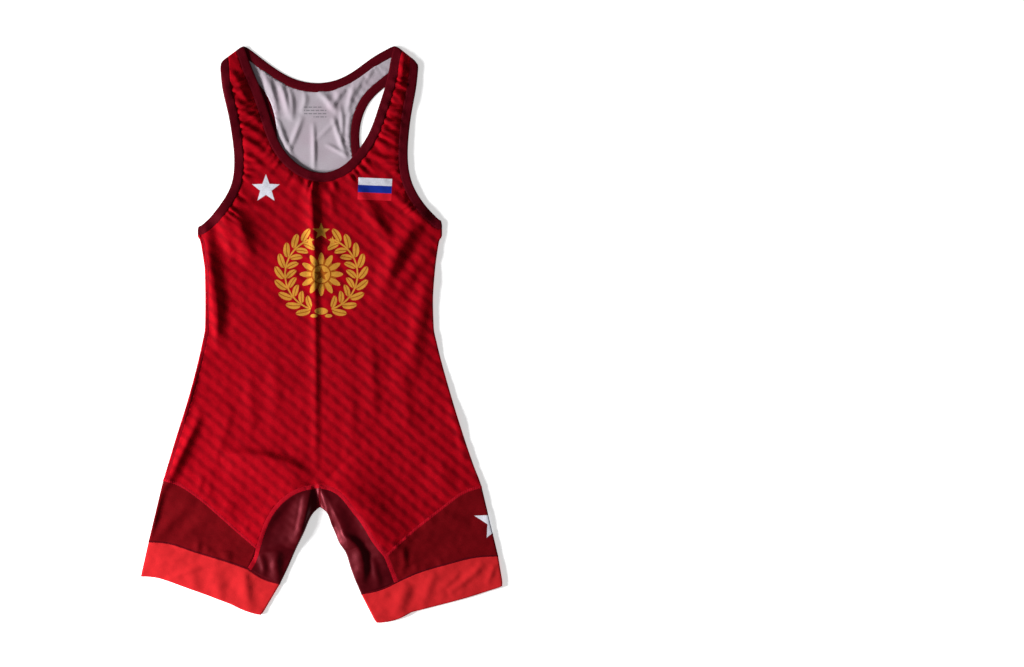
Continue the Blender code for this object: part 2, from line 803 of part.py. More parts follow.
def fold_points(outline, lines):
    """Each large fold's crest inside an outline, as a line, and a row of points on both sides of it."""
    crests, feet = [], []
    fixed = np.vstack([outline, *lines])
    for start, bend, end, half_width, _ in FOLDS:
        line = bent_line(start, bend, end)
        count = max(2, round(lengths_along(line)[-1] / FOLD_STEP))
        crest = spaced(line, count)
        kept = inside(crest, outline) & (distances(crest, fixed) > FOLD_CLEARANCE)
        runs = np.split(np.arange(count + 1), np.flatnonzero(~kept))
        run = max((run[kept[run]] for run in runs), key=len)
        if len(run) > 1:
            crests.append(crest[run])
        for distance in (-1.3, 1.3):
            feet.append(shifted(crest, distance * half_width * MM))
    return crests, feet


def kept_features(groups, outline, lines):
    """Feature points well inside an outline and clear of its lines, first come first kept."""
    kept = []
    fixed = np.vstack([outline, *lines])
    for group in groups:
        group = group[inside(group, outline)]
        for side in (RIGHT, LEFT):
            group = group[SIDES[side].depth(group, REACH) < -2.5 * MM]
        group = group[distances(group, fixed) > 3.2 * MM]
        if kept:
            group = group[distances(group, np.vstack(kept)) > 4.5 * MM]
        if len(group):
            kept.append(group)
    return kept


def front_panel(seams):
    """The front, from the shoulders to the leg panels, with a strip under the wearer's left side."""
    gap = SEAM_GAP / 2
    neck = shoulder_clip(shoulder_clip(NECK[FRONT].cloth_edge(), RIGHT), LEFT)
    arms = {side: shoulder_clip(ARMHOLES[side][FRONT].cloth_edge(), side) for side in (RIGHT, LEFT)}
    on_top = -SIDES[LEFT].depth(arms[LEFT], REACH)
    left_arm = clipped(arms[LEFT], on_top)
    beneath = ARMHOLES[LEFT][BACK].cloth_edge()
    beneath = clipped(beneath, -SIDES[LEFT].depth(beneath, REACH))
    beneath = clipped(beneath, from_seam(beneath, LEFT, TUCK_UNDER - gap))[::-1]
    leg = {side: shifted(seams[side].side_seam, side * gap) for side in (RIGHT, LEFT)}
    leg_beneath = clipped(leg[LEFT], from_seam(leg[LEFT], LEFT, TUCK_UNDER - gap))
    arch = {side: shifted(seams[side].arch, side * gap) for side in (RIGHT, LEFT)}
    right_leg = clipped(leg[RIGHT], -from_seam(leg[RIGHT], RIGHT, TUCK_OVER + gap))
    right_arm = clipped(arms[RIGHT], -from_seam(arms[RIGHT], RIGHT, TUCK_OVER + gap))
    under_top, under_low = beneath[-1][1], leg_beneath[0][1]
    outline = np.vstack(
        [
            neck,
            left_arm,
            roll_line(LEFT, left_arm[-1][1])[1:-1],
            unfolded(beneath, LEFT),
            unfolded(seam_down(LEFT, TUCK_UNDER - gap, under_top, under_low)[1:-1], LEFT),
            unfolded(leg_beneath, LEFT),
            roll_line(LEFT, leg[LEFT][-1][1])[-2:0:-1],
            leg[LEFT][:0:-1],
            tip_corner(seams[LEFT], gap),
            arch[LEFT][-2:0:-1],
            np.array(CROTCH, float)[None] * MM + (0, gap),
            arch[RIGHT][1:-1],
            tip_corner(seams[RIGHT], gap),
            right_leg[1:],
            seam_down(RIGHT, TUCK_OVER + gap, right_arm[-1][1], right_leg[-1][1])[-2:0:-1],
            right_arm[::-1],
        ]
    )
    lines = [
        *side_rows(LEFT, left_arm[-1][1], leg[LEFT][-1][1]),
        *shoulder_lines(NECK[FRONT].cloth_edge(), ARMHOLES[LEFT][FRONT].cloth_edge(), LEFT),
        *shoulder_lines(ARMHOLES[RIGHT][FRONT].cloth_edge(), NECK[FRONT].cloth_edge()[::-1], RIGHT),
    ]
    crests, groups = fold_points(outline, lines)
    lines += crests
    for half in GATHERED:
        groups.append(half.beside(BINDING_WIDTH / 2 + SEAM_GAP + 7 * MM)[half_calm(half)])
    features = kept_features(groups, outline, lines)
    folds = (SHOULDERS[RIGHT], SHOULDERS[LEFT], SIDES[LEFT])
    return wall_from_outline(outline, features, lines, folds, FRONT)


def half_calm(half):
    """Which stations of a binding lie clear of its folds."""
    at = np.interp(np.arange(len(half.centres)), half.counted, half.calm)
    return at > 0


def tip_corner(seams, gap):
    """Where the front or back comes to a point between a leg's side panel and inner panel."""
    along = unit(seams.side_seam[1] - seams.side_seam[0])
    arch = unit(seams.arch[-2] - seams.arch[-1])
    middle = unit(along + arch)
    sine = abs(along[0] * middle[1] - along[1] * middle[0])
    return (seams.side_seam[0] + middle * gap / sine)[None]


def back_panel(seams):
    """The racerback, from the shoulders to the leg panels, with a strip over the wearer's right side."""
    gap = SEAM_GAP / 2
    neck = shoulder_clip(shoulder_clip(NECK[BACK].cloth_edge(), RIGHT), LEFT)
    arms = {side: shoulder_clip(ARMHOLES[side][BACK].cloth_edge(), side) for side in (RIGHT, LEFT)}
    left_arm = clipped(arms[LEFT], -from_seam(arms[LEFT], LEFT, TUCK_UNDER + gap))
    leg = {side: shifted(seams[side].side_seam, side * gap) for side in (RIGHT, LEFT)}
    left_leg = clipped(leg[LEFT], -from_seam(leg[LEFT], LEFT, TUCK_UNDER + gap))
    arch = {side: shifted(seams[side].arch, side * gap) for side in (RIGHT, LEFT)}
    above_leg = clipped(leg[RIGHT], from_seam(leg[RIGHT], RIGHT, TUCK_OVER - gap))[::-1]
    above_arm = ARMHOLES[RIGHT][FRONT].cloth_edge()
    above_arm = clipped(above_arm, -SIDES[RIGHT].depth(above_arm, REACH))
    above_arm = clipped(above_arm, from_seam(above_arm, RIGHT, TUCK_OVER - gap))
    right_arm = clipped(arms[RIGHT], -SIDES[RIGHT].depth(arms[RIGHT], REACH))
    outline = np.vstack(
        [
            neck,
            left_arm,
            seam_down(LEFT, TUCK_UNDER + gap, left_arm[-1][1], left_leg[-1][1])[1:-1],
            left_leg[:0:-1],
            tip_corner(seams[LEFT], gap),
            arch[LEFT][-2:0:-1],
            np.array(CROTCH, float)[None] * MM + (0, gap),
            arch[RIGHT][1:-1],
            tip_corner(seams[RIGHT], gap),
            leg[RIGHT][1:],
            roll_line(RIGHT, leg[RIGHT][-1][1])[1:-1],
            unfolded(above_leg, RIGHT),
            unfolded(seam_down(RIGHT, TUCK_OVER - gap, above_arm[0][1], above_leg[-1][1])[-2:0:-1], RIGHT),
            unfolded(above_arm, RIGHT),
            roll_line(RIGHT, right_arm[-1][1])[-2:0:-1],
            right_arm[::-1],
        ]
    )
    lines = [
        *side_rows(RIGHT, right_arm[-1][1], leg[RIGHT][-1][1]),
        *shoulder_lines(NECK[BACK].cloth_edge(), ARMHOLES[LEFT][BACK].cloth_edge(), LEFT),
        *shoulder_lines(ARMHOLES[RIGHT][BACK].cloth_edge(), NECK[BACK].cloth_edge()[::-1], RIGHT),
    ]
    folds = (SHOULDERS[RIGHT], SHOULDERS[LEFT], SIDES[RIGHT])
    return wall_from_outline(outline, [], lines, folds, BACK)


# ---------------------------------------------------------------- materials and the whole


def make_material(name, colour, roughness):
    material = bpy.data.materials.new(name)
    material.use_nodes = True
    shader = material.node_tree.nodes["Principled BSDF"]
    shader.inputs["Base Color"].default_value = colour
    shader.inputs["Roughness"].default_value = roughness
    shader.inputs["Metallic"].default_value = 0.0
    return material


def main():
    for old in list(bpy.data.objects):
        bpy.data.objects.remove(old, do_unlink=True)
    materials = {name: make_material(name, *values) for name, values in MATERIALS.items()}
    singlet = bpy.data.objects.new("singlet", None)
    bpy.context.scene.collection.objects.link(singlet)
    seams = {side: LegSeams(side) for side in (RIGHT, LEFT)}
    make_piece("front_panel", *front_panel(seams), materials["printed_red"], singlet)
    make_piece("back_panel", *back_panel(seams), materials["printed_red"], singlet)
    make_piece("neck_binding", *binding_ring(NECK), materials["binding_maroon"], singlet)
    for side, word in ((RIGHT, "right"), (LEFT, "left")):
        make_piece(f"side_leg_panel_{word}", *side_panel(seams[side]), materials["maroon"], singlet)
        inner = inner_panel(seams[side])
        make_piece(f"inner_leg_panel_{word}", *inner, materials["dark_maroon_sheen"], singlet)
        make_piece(f"leg_band_{word}", *leg_band(seams[side]), materials["coral"], singlet)
        ring = binding_ring(ARMHOLES[side])
        make_piece(f"armhole_binding_{word}", *ring, materials["binding_maroon"], singlet)


main()
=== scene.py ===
"""A wrestling singlet laid flat, face up: its cloth, bindings, seams and print, with floor and light.

Metres, +Z up, +Y towards the shoulders and +X towards the wearer's left. Tables are in millimetres. Each
piece of cloth is drawn on a flat pattern, and is wrapped round a small roll where it turns under.
"""

import logging
import math
from dataclasses import dataclass
from enum import IntEnum
from typing import Callable, Sequence

import bpy
import numpy as np
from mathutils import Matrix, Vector
from mathutils.geometry import delaunay_2d_cdt


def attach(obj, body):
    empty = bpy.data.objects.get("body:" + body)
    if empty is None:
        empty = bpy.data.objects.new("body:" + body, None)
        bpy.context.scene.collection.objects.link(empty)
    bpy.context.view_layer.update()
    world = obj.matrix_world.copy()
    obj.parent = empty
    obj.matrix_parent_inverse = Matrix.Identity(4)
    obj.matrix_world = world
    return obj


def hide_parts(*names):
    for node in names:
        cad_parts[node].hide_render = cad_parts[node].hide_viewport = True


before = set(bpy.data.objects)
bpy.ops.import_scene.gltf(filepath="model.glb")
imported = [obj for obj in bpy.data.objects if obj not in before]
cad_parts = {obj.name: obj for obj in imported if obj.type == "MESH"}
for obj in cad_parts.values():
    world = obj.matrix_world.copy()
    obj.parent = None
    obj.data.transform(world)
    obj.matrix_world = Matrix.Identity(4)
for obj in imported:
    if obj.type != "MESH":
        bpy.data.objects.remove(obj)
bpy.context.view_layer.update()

Array = np.ndarray
Rows = Sequence[Sequence[float]]
Pair = tuple[float, float]
Finishes = dict[str, bpy.types.Material]
LOG = logging.getLogger("singlet")
MM = 0.001

# Sizes shared with the solids
CLOTH = 1.0 * MM
BINDING_WIDTH = 13.0 * MM
BINDING_THICK = 1.8 * MM
SEAM_GAP = 0.3 * MM
TUCK_UNDER = 16.6 * MM
TUCK_OVER = 4.8 * MM
NECK_SKEW = 0.35
ARMHOLE_SKEW = 0.6
BACK_LEVEL = 0.6 * MM
FRONT_LEVEL = 3.6 * MM
BINDING_BACK_LEVEL = 0.9 * MM
ROLL = (FRONT_LEVEL - BACK_LEVEL) / 2
ROLL_LENGTH = math.pi * ROLL
ROLL_EDGE = 0.6 * MM
REACH = ROLL + ROLL_EDGE
TINY = 1e-9

# Mesh steps
PATH_STEP = 0.4 * MM
GATHER_PITCH = 6.0 * MM
ROLL_STEP = 1.1 * MM
NEAR_ROLL_STEP = 3.0 * MM
GRID_STEP = 2.5 * MM
ROW_SHARE = math.sqrt(0.75)
CLEARANCE = 0.55
MERGED = 1e-7
SIDE_STEP = 3.0 * MM
ROLL_SHARES = tuple(i / 8 for i in range(9))


class Side(IntEnum):
    """The wearer's two sides, as the sign of x."""

    RIGHT = -1
    LEFT = 1


class Layer(IntEnum):
    """The garment's two layers as it lies."""

    FRONT = 1
    BACK = -1

    @property
    def folded(self) -> Side:
        """The side where the layer's cloth turns round the side fold."""
        return Side.LEFT if self == Layer.FRONT else Side.RIGHT


# How far in from each side fold its seam lies, in the layer under or over
TUCKS = {Side.RIGHT: TUCK_OVER, Side.LEFT: TUCK_UNDER}

SIDE_FOLDS = (
    (170, 172, 166), (136, 172, 166), (130, 168.8, 162.4), (112, 165.4, 159.2), (86, 162, 156),
    (45, 161.5, 153.5), (10, 162, 154.5), (-13, 166, 159), (-80, 182.5, 177), (-146, 203, 197.5),
    (-179, 212.8, 208.8), (-212, 222.5, 221), (-279, 238, 235), (-335, 250.8, 250), (-360, 250.8, 250.8),
)
SHOULDER_FOLDS = {
    Side.RIGHT: ((-142, 375), (-108, 400.4)),
    Side.LEFT: ((133, 375), (101, 400.4)),
}
NECK_FRONT = (
    (-114, 396), (-105, 371), (-88, 329), (-76, 292), (-61, 256), (-37, 230), (-3, 217), (30, 226),
    (53, 248), (70, 274), (85, 314), (97, 355), (106, 396),
)
NECK_BACK = (
    (-114, 396), (-91, 379), (-68, 362), (-40, 347), (-7, 341), (20, 345), (48, 359), (76, 379), (106, 396),
)
ARMHOLE_FRONT = {
    Side.RIGHT: (
        (-135, 380), (-131.5, 343), (-124, 310), (-118, 277), (-115, 236), (-119, 206), (-136, 174),
        (-155, 152), (-172, 143),
    ),
    Side.LEFT: (
        (128, 380), (124, 343), (118, 310), (113, 270), (113, 232), (119, 206), (138, 174), (153, 158),
        (166, 151),
    ),
}
ARMHOLE_BACK = {
    Side.RIGHT: (
        (-135, 380), (-108, 358), (-83, 331), (-69, 290), (-69, 250), (-80, 215), (-108, 183), (-140, 158),
        (-172, 143),
    ),
    Side.LEFT: (
        (128, 380), (96, 357), (64, 329), (48, 296), (46, 258), (57, 217), (84, 177), (122, 156),
        (166, 151),
    ),
}
CROTCH = (-3, -208)
CROTCH_FOLD = (-3, -239)
ARCH = {
    Side.RIGHT: (CROTCH, (-23, -211), (-41, -218), (-57, -230), (-71, -247), (-81, -268), (-90, -295)),
    Side.LEFT: (CROTCH, (18, -214), (32, -225), (46, -243), (57, -257), (72, -282), (90, -305)),
}
DROP = {
    Side.RIGHT: ((-90, -295), (-95, -312), (-102, -324)),
    Side.LEFT: ((90, -305), (97, -323), (104, -342)),
}
SIDE_SEAM = {
    Side.RIGHT: ((-90, -295), (-127, -263), (-182, -217), (-199, -207), (-225, -199)),
    Side.LEFT: ((90, -305), (128, -270), (170, -237), (199, -217), (228, -209)),
}
BAND_SEAM = {
    Side.RIGHT: ((-102, -324), (-127, -315), (-182, -298), (-210, -289), (-242, -286)),
    Side.LEFT: ((104, -342), (128, -331), (177, -316), (210, -308), (248, -306)),
}
HEM_SIDE = {
    Side.RIGHT: ((-126, -373), (-155, -362), (-202, -345), (-232, -336), (-255, -335)),
    Side.LEFT: ((124, -384), (163, -374), (207, -362), (235, -353), (255, -347)),
}
BAND_INNER = {Side.RIGHT: ((-80, -338), (-58, -345)), Side.LEFT: ((80, -353), (54, -359))}
HEM_INNER = {Side.RIGHT: ((-104, -383), (-84, -389)), Side.LEFT: ((101, -395), (75, -400))}
INNER_EDGE = {
    Side.RIGHT: (CROTCH_FOLD, (-11, -246), (-23, -270), (-35, -295), (-46, -320), (-58, -345)),
    Side.LEFT: (
        CROTCH_FOLD, (6, -246), (12.5, -262), (19, -277), (24, -289), (31, -299), (38, -318), (54, -359),
    ),
}


# ---- Curves on the flat pattern


def steady_curve(rows: Rows, column: int) -> Callable[[Array], Array]:
    """Makes a function of y through one column of a table that never overshoots its rows.

    Args:
        rows: The table, with y in its first column.
        column: The column of values.

    Returns:
        The function, in metres.
    """
    table = np.array(sorted(rows), float) * MM
    at, values = table[:, 0], table[:, column]
    steps = np.diff(at)
    rises = np.diff(values) / steps
    slopes = np.zeros(len(at))
    same_way = rises[:-1] * rises[1:] > 0
    slopes[1:-1][same_way] = 2 / (1 / rises[:-1][same_way] + 1 / rises[1:][same_way])

    def value(y: Array) -> Array:
        """Reads the curve, which stays level past its ends.

        Args:
            y: Where it is read.

        Returns:
            Its values.
        """
        y = np.clip(y, at[0], at[-1])
        cell = np.clip(np.searchsorted(at, y) - 1, 0, len(steps) - 1)
        step = steps[cell]
        t = (y - at[cell]) / step
        rise = values[cell + 1] - values[cell]
        bow = step * t * (1 - t) * (slopes[cell] * (1 - t) - slopes[cell + 1] * t)
        return values[cell] + rise * t * t * (3 - 2 * t) + bow

    return value


def lengths_along(points: Array) -> Array:
    """The length of a polyline up to each of its points."""
    steps = np.linalg.norm(np.diff(points, axis=0), axis=1)
    return np.concatenate([[0.0], np.cumsum(steps)])


def smooth_path(rows: Rows, start: Array | None = None, end: Array | None = None) -> Array:
    """Draws the cubic curve through a table's points, closely spaced.

    Args:
        rows: The points in millimetres.
        start: The curve's direction at its first point, if it is set.
        end: The same at its last point.

    Returns:
        The curve's points in metres.
    """
    knots = np.array(rows, float) * MM
    count = len(knots)
    spans = np.linalg.norm(np.diff(knots, axis=0), axis=1)
    system = np.zeros((count, count))
    wanted = np.zeros((count, 2))
    for i in range(1, count - 1):
        before, after = spans[i - 1], spans[i]
        system[i, i - 1 : i + 2] = 1 / before, 2 / before + 2 / after, 1 / after
        wanted[i] = 3 * (knots[i] - knots[i - 1]) / before**2 + 3 * (knots[i + 1] - knots[i]) / after**2
    for row, other, direction, chord in (
        (0, 1, start, (knots[1] - knots[0]) / spans[0]),
        (count - 1, count - 2, end, (knots[-1] - knots[-2]) / spans[-1]),
    ):
        if direction is None:
            system[row, row], system[row, other] = 2, 1
            wanted[row] = 3 * chord
        else:
            system[row, row] = 1
            wanted[row] = direction
    slopes = np.linalg.solve(system, wanted)
    pieces = []
    for i, span in enumerate(spans):
        t = np.linspace(0, 1, max(2, math.ceil(span / PATH_STEP)), endpoint=False)[:, None]
        pieces.append(
            knots[i] * (1 + 2 * t) * (1 - t) ** 2
            + knots[i + 1] * t * t * (3 - 2 * t)
            + span * slopes[i] * t * (1 - t) ** 2
            - span * slopes[i + 1] * t * t * (1 - t)
        )
    return np.vstack([*pieces, knots[-1:]])


def sampled(values: Array, at: Array, places: Array) -> Array:
    """The rows of values, which stand at known places, read at other places."""
    return np.column_stack([np.interp(places, at, column) for column in values.T])


def spaced(points: Array, cells: int) -> Array:
    """The polyline's points at equal lengths, one more than the number of cells."""
    along = lengths_along(points)
    return sampled(points, along, np.linspace(0, along[-1], cells + 1))


def unit(vectors: Array) -> Array:
    """The vectors at length one."""
    return vectors / np.linalg.norm(vectors, axis=-1, keepdims=True)


def tangents(points: Array) -> Array:
    """The direction of a polyline at each of its points."""
    longer = np.vstack([2 * points[:1] - points[1:2], points, 2 * points[-1:] - points[-2:-1]])
    return unit(longer[2:] - longer[:-2])


def left_of(vectors: Array) -> Array:
    """The vectors turned a quarter to their left."""
    return np.stack([-vectors[..., 1], vectors[..., 0]], axis=-1)


def shifted(points: Array, distance: float) -> Array:
    """Moves a polyline to its left, with its corners mitred.

    Args:
        points: The polyline.
        distance: How far it moves.

    Returns:
        The moved polyline.
    """
    normals = left_of(unit(np.diff(points, axis=0)))
    before, after = np.vstack([normals[:1], normals]), np.vstack([normals, normals[-1:]])
    middle = unit(before + after)
    return points + distance * middle / np.sum(middle * before, axis=1, keepdims=True)


def clipped(points: Array, values: Array) -> Array:
    """Keeps the stretch of a polyline where values are positive, ending where they cross zero.

    Args:
        points: The polyline.
        values: A value at each of its points.

    Returns:
        The stretch.
    """
    kept = []
    for i, (point, value) in enumerate(zip(points, values)):
        if i and (value > 0) != (values[i - 1] > 0):
            share = values[i - 1] / (values[i - 1] - value)
            kept.append(points[i - 1] + share * (point - points[i - 1]))
        if value > 0:
            kept.append(point)
    return np.array(kept)


def inside(points: Array, outline: Array) -> Array:
    """Finds which points lie inside a closed outline.

    Args:
        points: The points.
        outline: The outline's corners.

    Returns:
        Whether each point lies inside.
    """
    result = np.zeros(len(points), bool)
    for (x1, y1), (x2, y2) in zip(outline, np.roll(outline, -1, axis=0)):
        if y1 != y2:
            crosses = (y1 > points[:, 1]) != (y2 > points[:, 1])
            result ^= crosses & (points[:, 0] < x1 + (points[:, 1] - y1) * (x2 - x1) / (y2 - y1))
    return result


def distances(points: Array, others: Array, block: int = 200) -> Array:
    """From each point to the nearest of the others, a block of points at a time."""
    blocks = np.array_split(points, max(1, len(points) // block))
    return np.concatenate([np.linalg.norm(b[:, None] - others[None], axis=2).min(axis=1) for b in blocks])


def nearest_on(points: Array, line: Array) -> tuple[Array, Array, Array]:
    """Finds each point's nearest place on a polyline.

    Args:
        points: The points.
        line: The polyline.

    Returns:
        The distance, the place counted in the line's points, and 1 or -1 for its left or right side.
    """
    steps = np.diff(line, axis=0)
    offsets = points[:, None] - line[None, :-1]
    shares = np.clip(np.sum(offsets * steps, axis=2) / np.sum(steps * steps, axis=1), 0, 1)
    aside = offsets - shares[..., None] * steps
    gaps = np.linalg.norm(aside, axis=2)
    rows, nearest = np.arange(len(points)), gaps.argmin(axis=1)
    turned = left_of(steps[nearest])
    side = np.where(np.sum(aside[rows, nearest] * turned, axis=1) >= 0, 1.0, -1.0)
    return gaps[rows, nearest], nearest + shares[rows, nearest], side


# ---- Folds where the cloth turns under


class ShoulderFold:
    """The straight fold over one shoulder."""

    def __init__(self, side: Side) -> None:
        """Takes the fold's corners from the table.

        Args:
            side: The wearer's side that the shoulder is on.
        """
        outer, inner = (np.array(corner, float) * MM for corner in SHOULDER_FOLDS[side])
        self.corner = outer
        self.axis = unit(inner - outer)
        upright = left_of(self.axis)
        self.outward = upright if upright[1] > 0 else -upright

    def depth(self, points: Array, reach: float) -> Array:
        """How far each point lies past the line where the roll starts."""
        return (points - self.corner) @ self.outward + reach


class SideFold:
    """The fold down one side, whose roll turns straight across the body."""

    def __init__(self, side: Side) -> None:
        """Takes the fold's edge from the table.

        Args:
            side: The wearer's side that it runs down.
        """
        self.side = side
        self.edge = steady_curve(SIDE_FOLDS, 1 if side == Side.RIGHT else 2)
        self.axis = np.array([0.0, 1.0])
        self.outward = np.array([float(side), 0.0])

    def depth(self, points: Array, reach: float) -> Array:
        """How far each point lies past the line where the roll starts."""
        return self.side * points[:, 0] - self.edge(points[:, 1]) + reach


SHOULDERS = {side: ShoulderFold(side) for side in Side}
SIDES = {side: SideFold(side) for side in Side}


class BindingHalf:
    """One layer's half of a binding: its stations and, at each, the way across towards the cloth."""

    # Millimetres from the start of a roll: where steps shorten, calm fades and the way across leans
    STEP_DEPTHS = (-18, -6, -1.5)
    STEPS = (GATHER_PITCH, NEAR_ROLL_STEP, ROLL_STEP)
    CALM_DEPTH, CALM_RUN = 18, 20
    LEAN_DEPTH, LEAN_RUN = 16, 12
    STATIONS = 3

    def __init__(self, rows: Rows, ends: Sequence, skew: float, cloth_side: int, layer: Layer) -> None:
        """Spaces the stations along the path.

        Args:
            rows: The middle of the binding.
            ends: The folds that it crosses at its two ends.
            skew: How far it leans along a shoulder fold for each step across it.
            cloth_side: 1 where the cloth lies to the path's left, -1 to its right.
            layer: The layer it lies in.
        """
        self.folds = ends
        directions = [self.crossing(fold, skew, layer) for fold in ends]
        self.dense = dense = smooth_path(rows, -directions[0], directions[1])
        reach = (FRONT_LEVEL - BINDING_BACK_LEVEL) / 2 + BINDING_THICK / 2
        depths = np.stack([fold.depth(dense, reach) for fold in ends])
        depth = depths.max(axis=0) / MM
        steps = np.interp(depth, self.STEP_DEPTHS, self.STEPS)
        counted = lengths_along(dense)
        counted = np.concatenate([[0], np.cumsum(np.diff(counted) / ((steps[1:] + steps[:-1]) / 2))])
        count = math.ceil(counted[-1])
        self.counted = counted * count / counted[-1]
        self.calm = np.clip((-depth - self.CALM_DEPTH) / self.CALM_RUN, 0, 1)
        across = cloth_side * left_of(tangents(dense))
        near = np.clip((depth + self.LEAN_DEPTH) / self.LEAN_RUN, 0, 1)[:, None]
        near = near * near * (3 - 2 * near)
        axes = np.array([fold.axis for fold in ends])[depths.argmax(axis=0)]
        axes = axes * np.sign(np.sum(axes * across, axis=1, keepdims=True))
        leaning = unit(across * (1 - near) + axes * near)
        leaning = leaning / np.sum(leaning * across, axis=1, keepdims=True)
        index = np.arange(len(dense))
        places = np.interp(np.arange(self.STATIONS * count + 1) / self.STATIONS, self.counted, index)
        self.centres, self.across = sampled(dense, index, places), sampled(leaning, index, places)

    @staticmethod
    def crossing(fold: ShoulderFold | SideFold, skew: float, layer: Layer) -> Array:
        """The outward direction in which a binding crosses a fold."""
        lean = skew if isinstance(fold, ShoulderFold) else 0.0
        return unit(fold.outward + layer * lean * fold.axis)

    def beside(self, distance: float) -> Array:
        """The stations' points at a distance from the middle, towards the cloth."""
        return self.centres + distance * self.across

    def cloth_edge(self, overlap: float) -> Array:
        """Draws the edge of the cloth, run on a little past both folds.

        Args:
            overlap: How far it is tucked into the binding.

        Returns:
            The edge's points.
        """
        edge = self.beside(BINDING_WIDTH / 2 + SEAM_GAP - overlap)
        before, after = edge[0] + (edge[0] - edge[1]), edge[-1] + (edge[-1] - edge[-2])
        return np.vstack([before, edge, after])


def binding_halves(tables: Sequence[Rows], ends: Sequence, skew: float, cloth_side: int) -> dict:
    """Both halves of one binding, by layer, from the table of each."""
    return {layer: BindingHalf(rows, ends, skew, cloth_side, layer) for layer, rows in zip(Layer, tables)}


NECK = binding_halves((NECK_FRONT, NECK_BACK), tuple(SHOULDERS.values()), NECK_SKEW, -1)
ARMHOLES = {
    side: binding_halves(
        (ARMHOLE_FRONT[side], ARMHOLE_BACK[side]), (SHOULDERS[side], SIDES[side]), ARMHOLE_SKEW, -side
    )
    for side in Side
}


# ---- How the cloth rises and sinks


@dataclass(frozen=True)
class Crease:
    """A soft ridge, or a trough where its height is below zero, along an arc, in millimetres."""

    spots: Sequence[float]
    left: float
    right: float
    height: float
    reach: float = 2.6
    swell: float = 0.7

    def line(self, count: int = 15) -> Array:
        """Draws the arc that leaves its start for its bend and arrives at its end.

        Args:
            count: How many points it has.

        Returns:
            The points on the pattern.
        """
        t = np.linspace(0, 1, count)[:, None]
        start, bend, end = np.array(self.spots, float).reshape(3, 2) * MM
        return start * (1 - t) ** 2 + 2 * bend * t * (1 - t) + end * t * t

    def lift(self, points: Array) -> Array:
        """Works out how far the crease lifts the cloth.

        Args:
            points: The points on the pattern.

        Returns:
            The lift at each point.
        """
        line = self.line()
        reach = self.reach * max(self.left, self.right) * MM
        near = np.all((points > line.min(axis=0) - reach) & (points < line.max(axis=0) + reach), axis=1)
        lift = np.zeros(len(points))
        if near.any():
            gap, place, side = nearest_on(points[near], line)
            share = np.clip(place / (len(line) - 1), 0.0, 1.0)
            width = np.where(side > 0, self.left, self.right) * MM
            fading = np.exp(-((gap / width) ** 2)) * np.sin(np.pi * share) ** self.swell
            lift[near] = self.height * MM * fading
        return lift


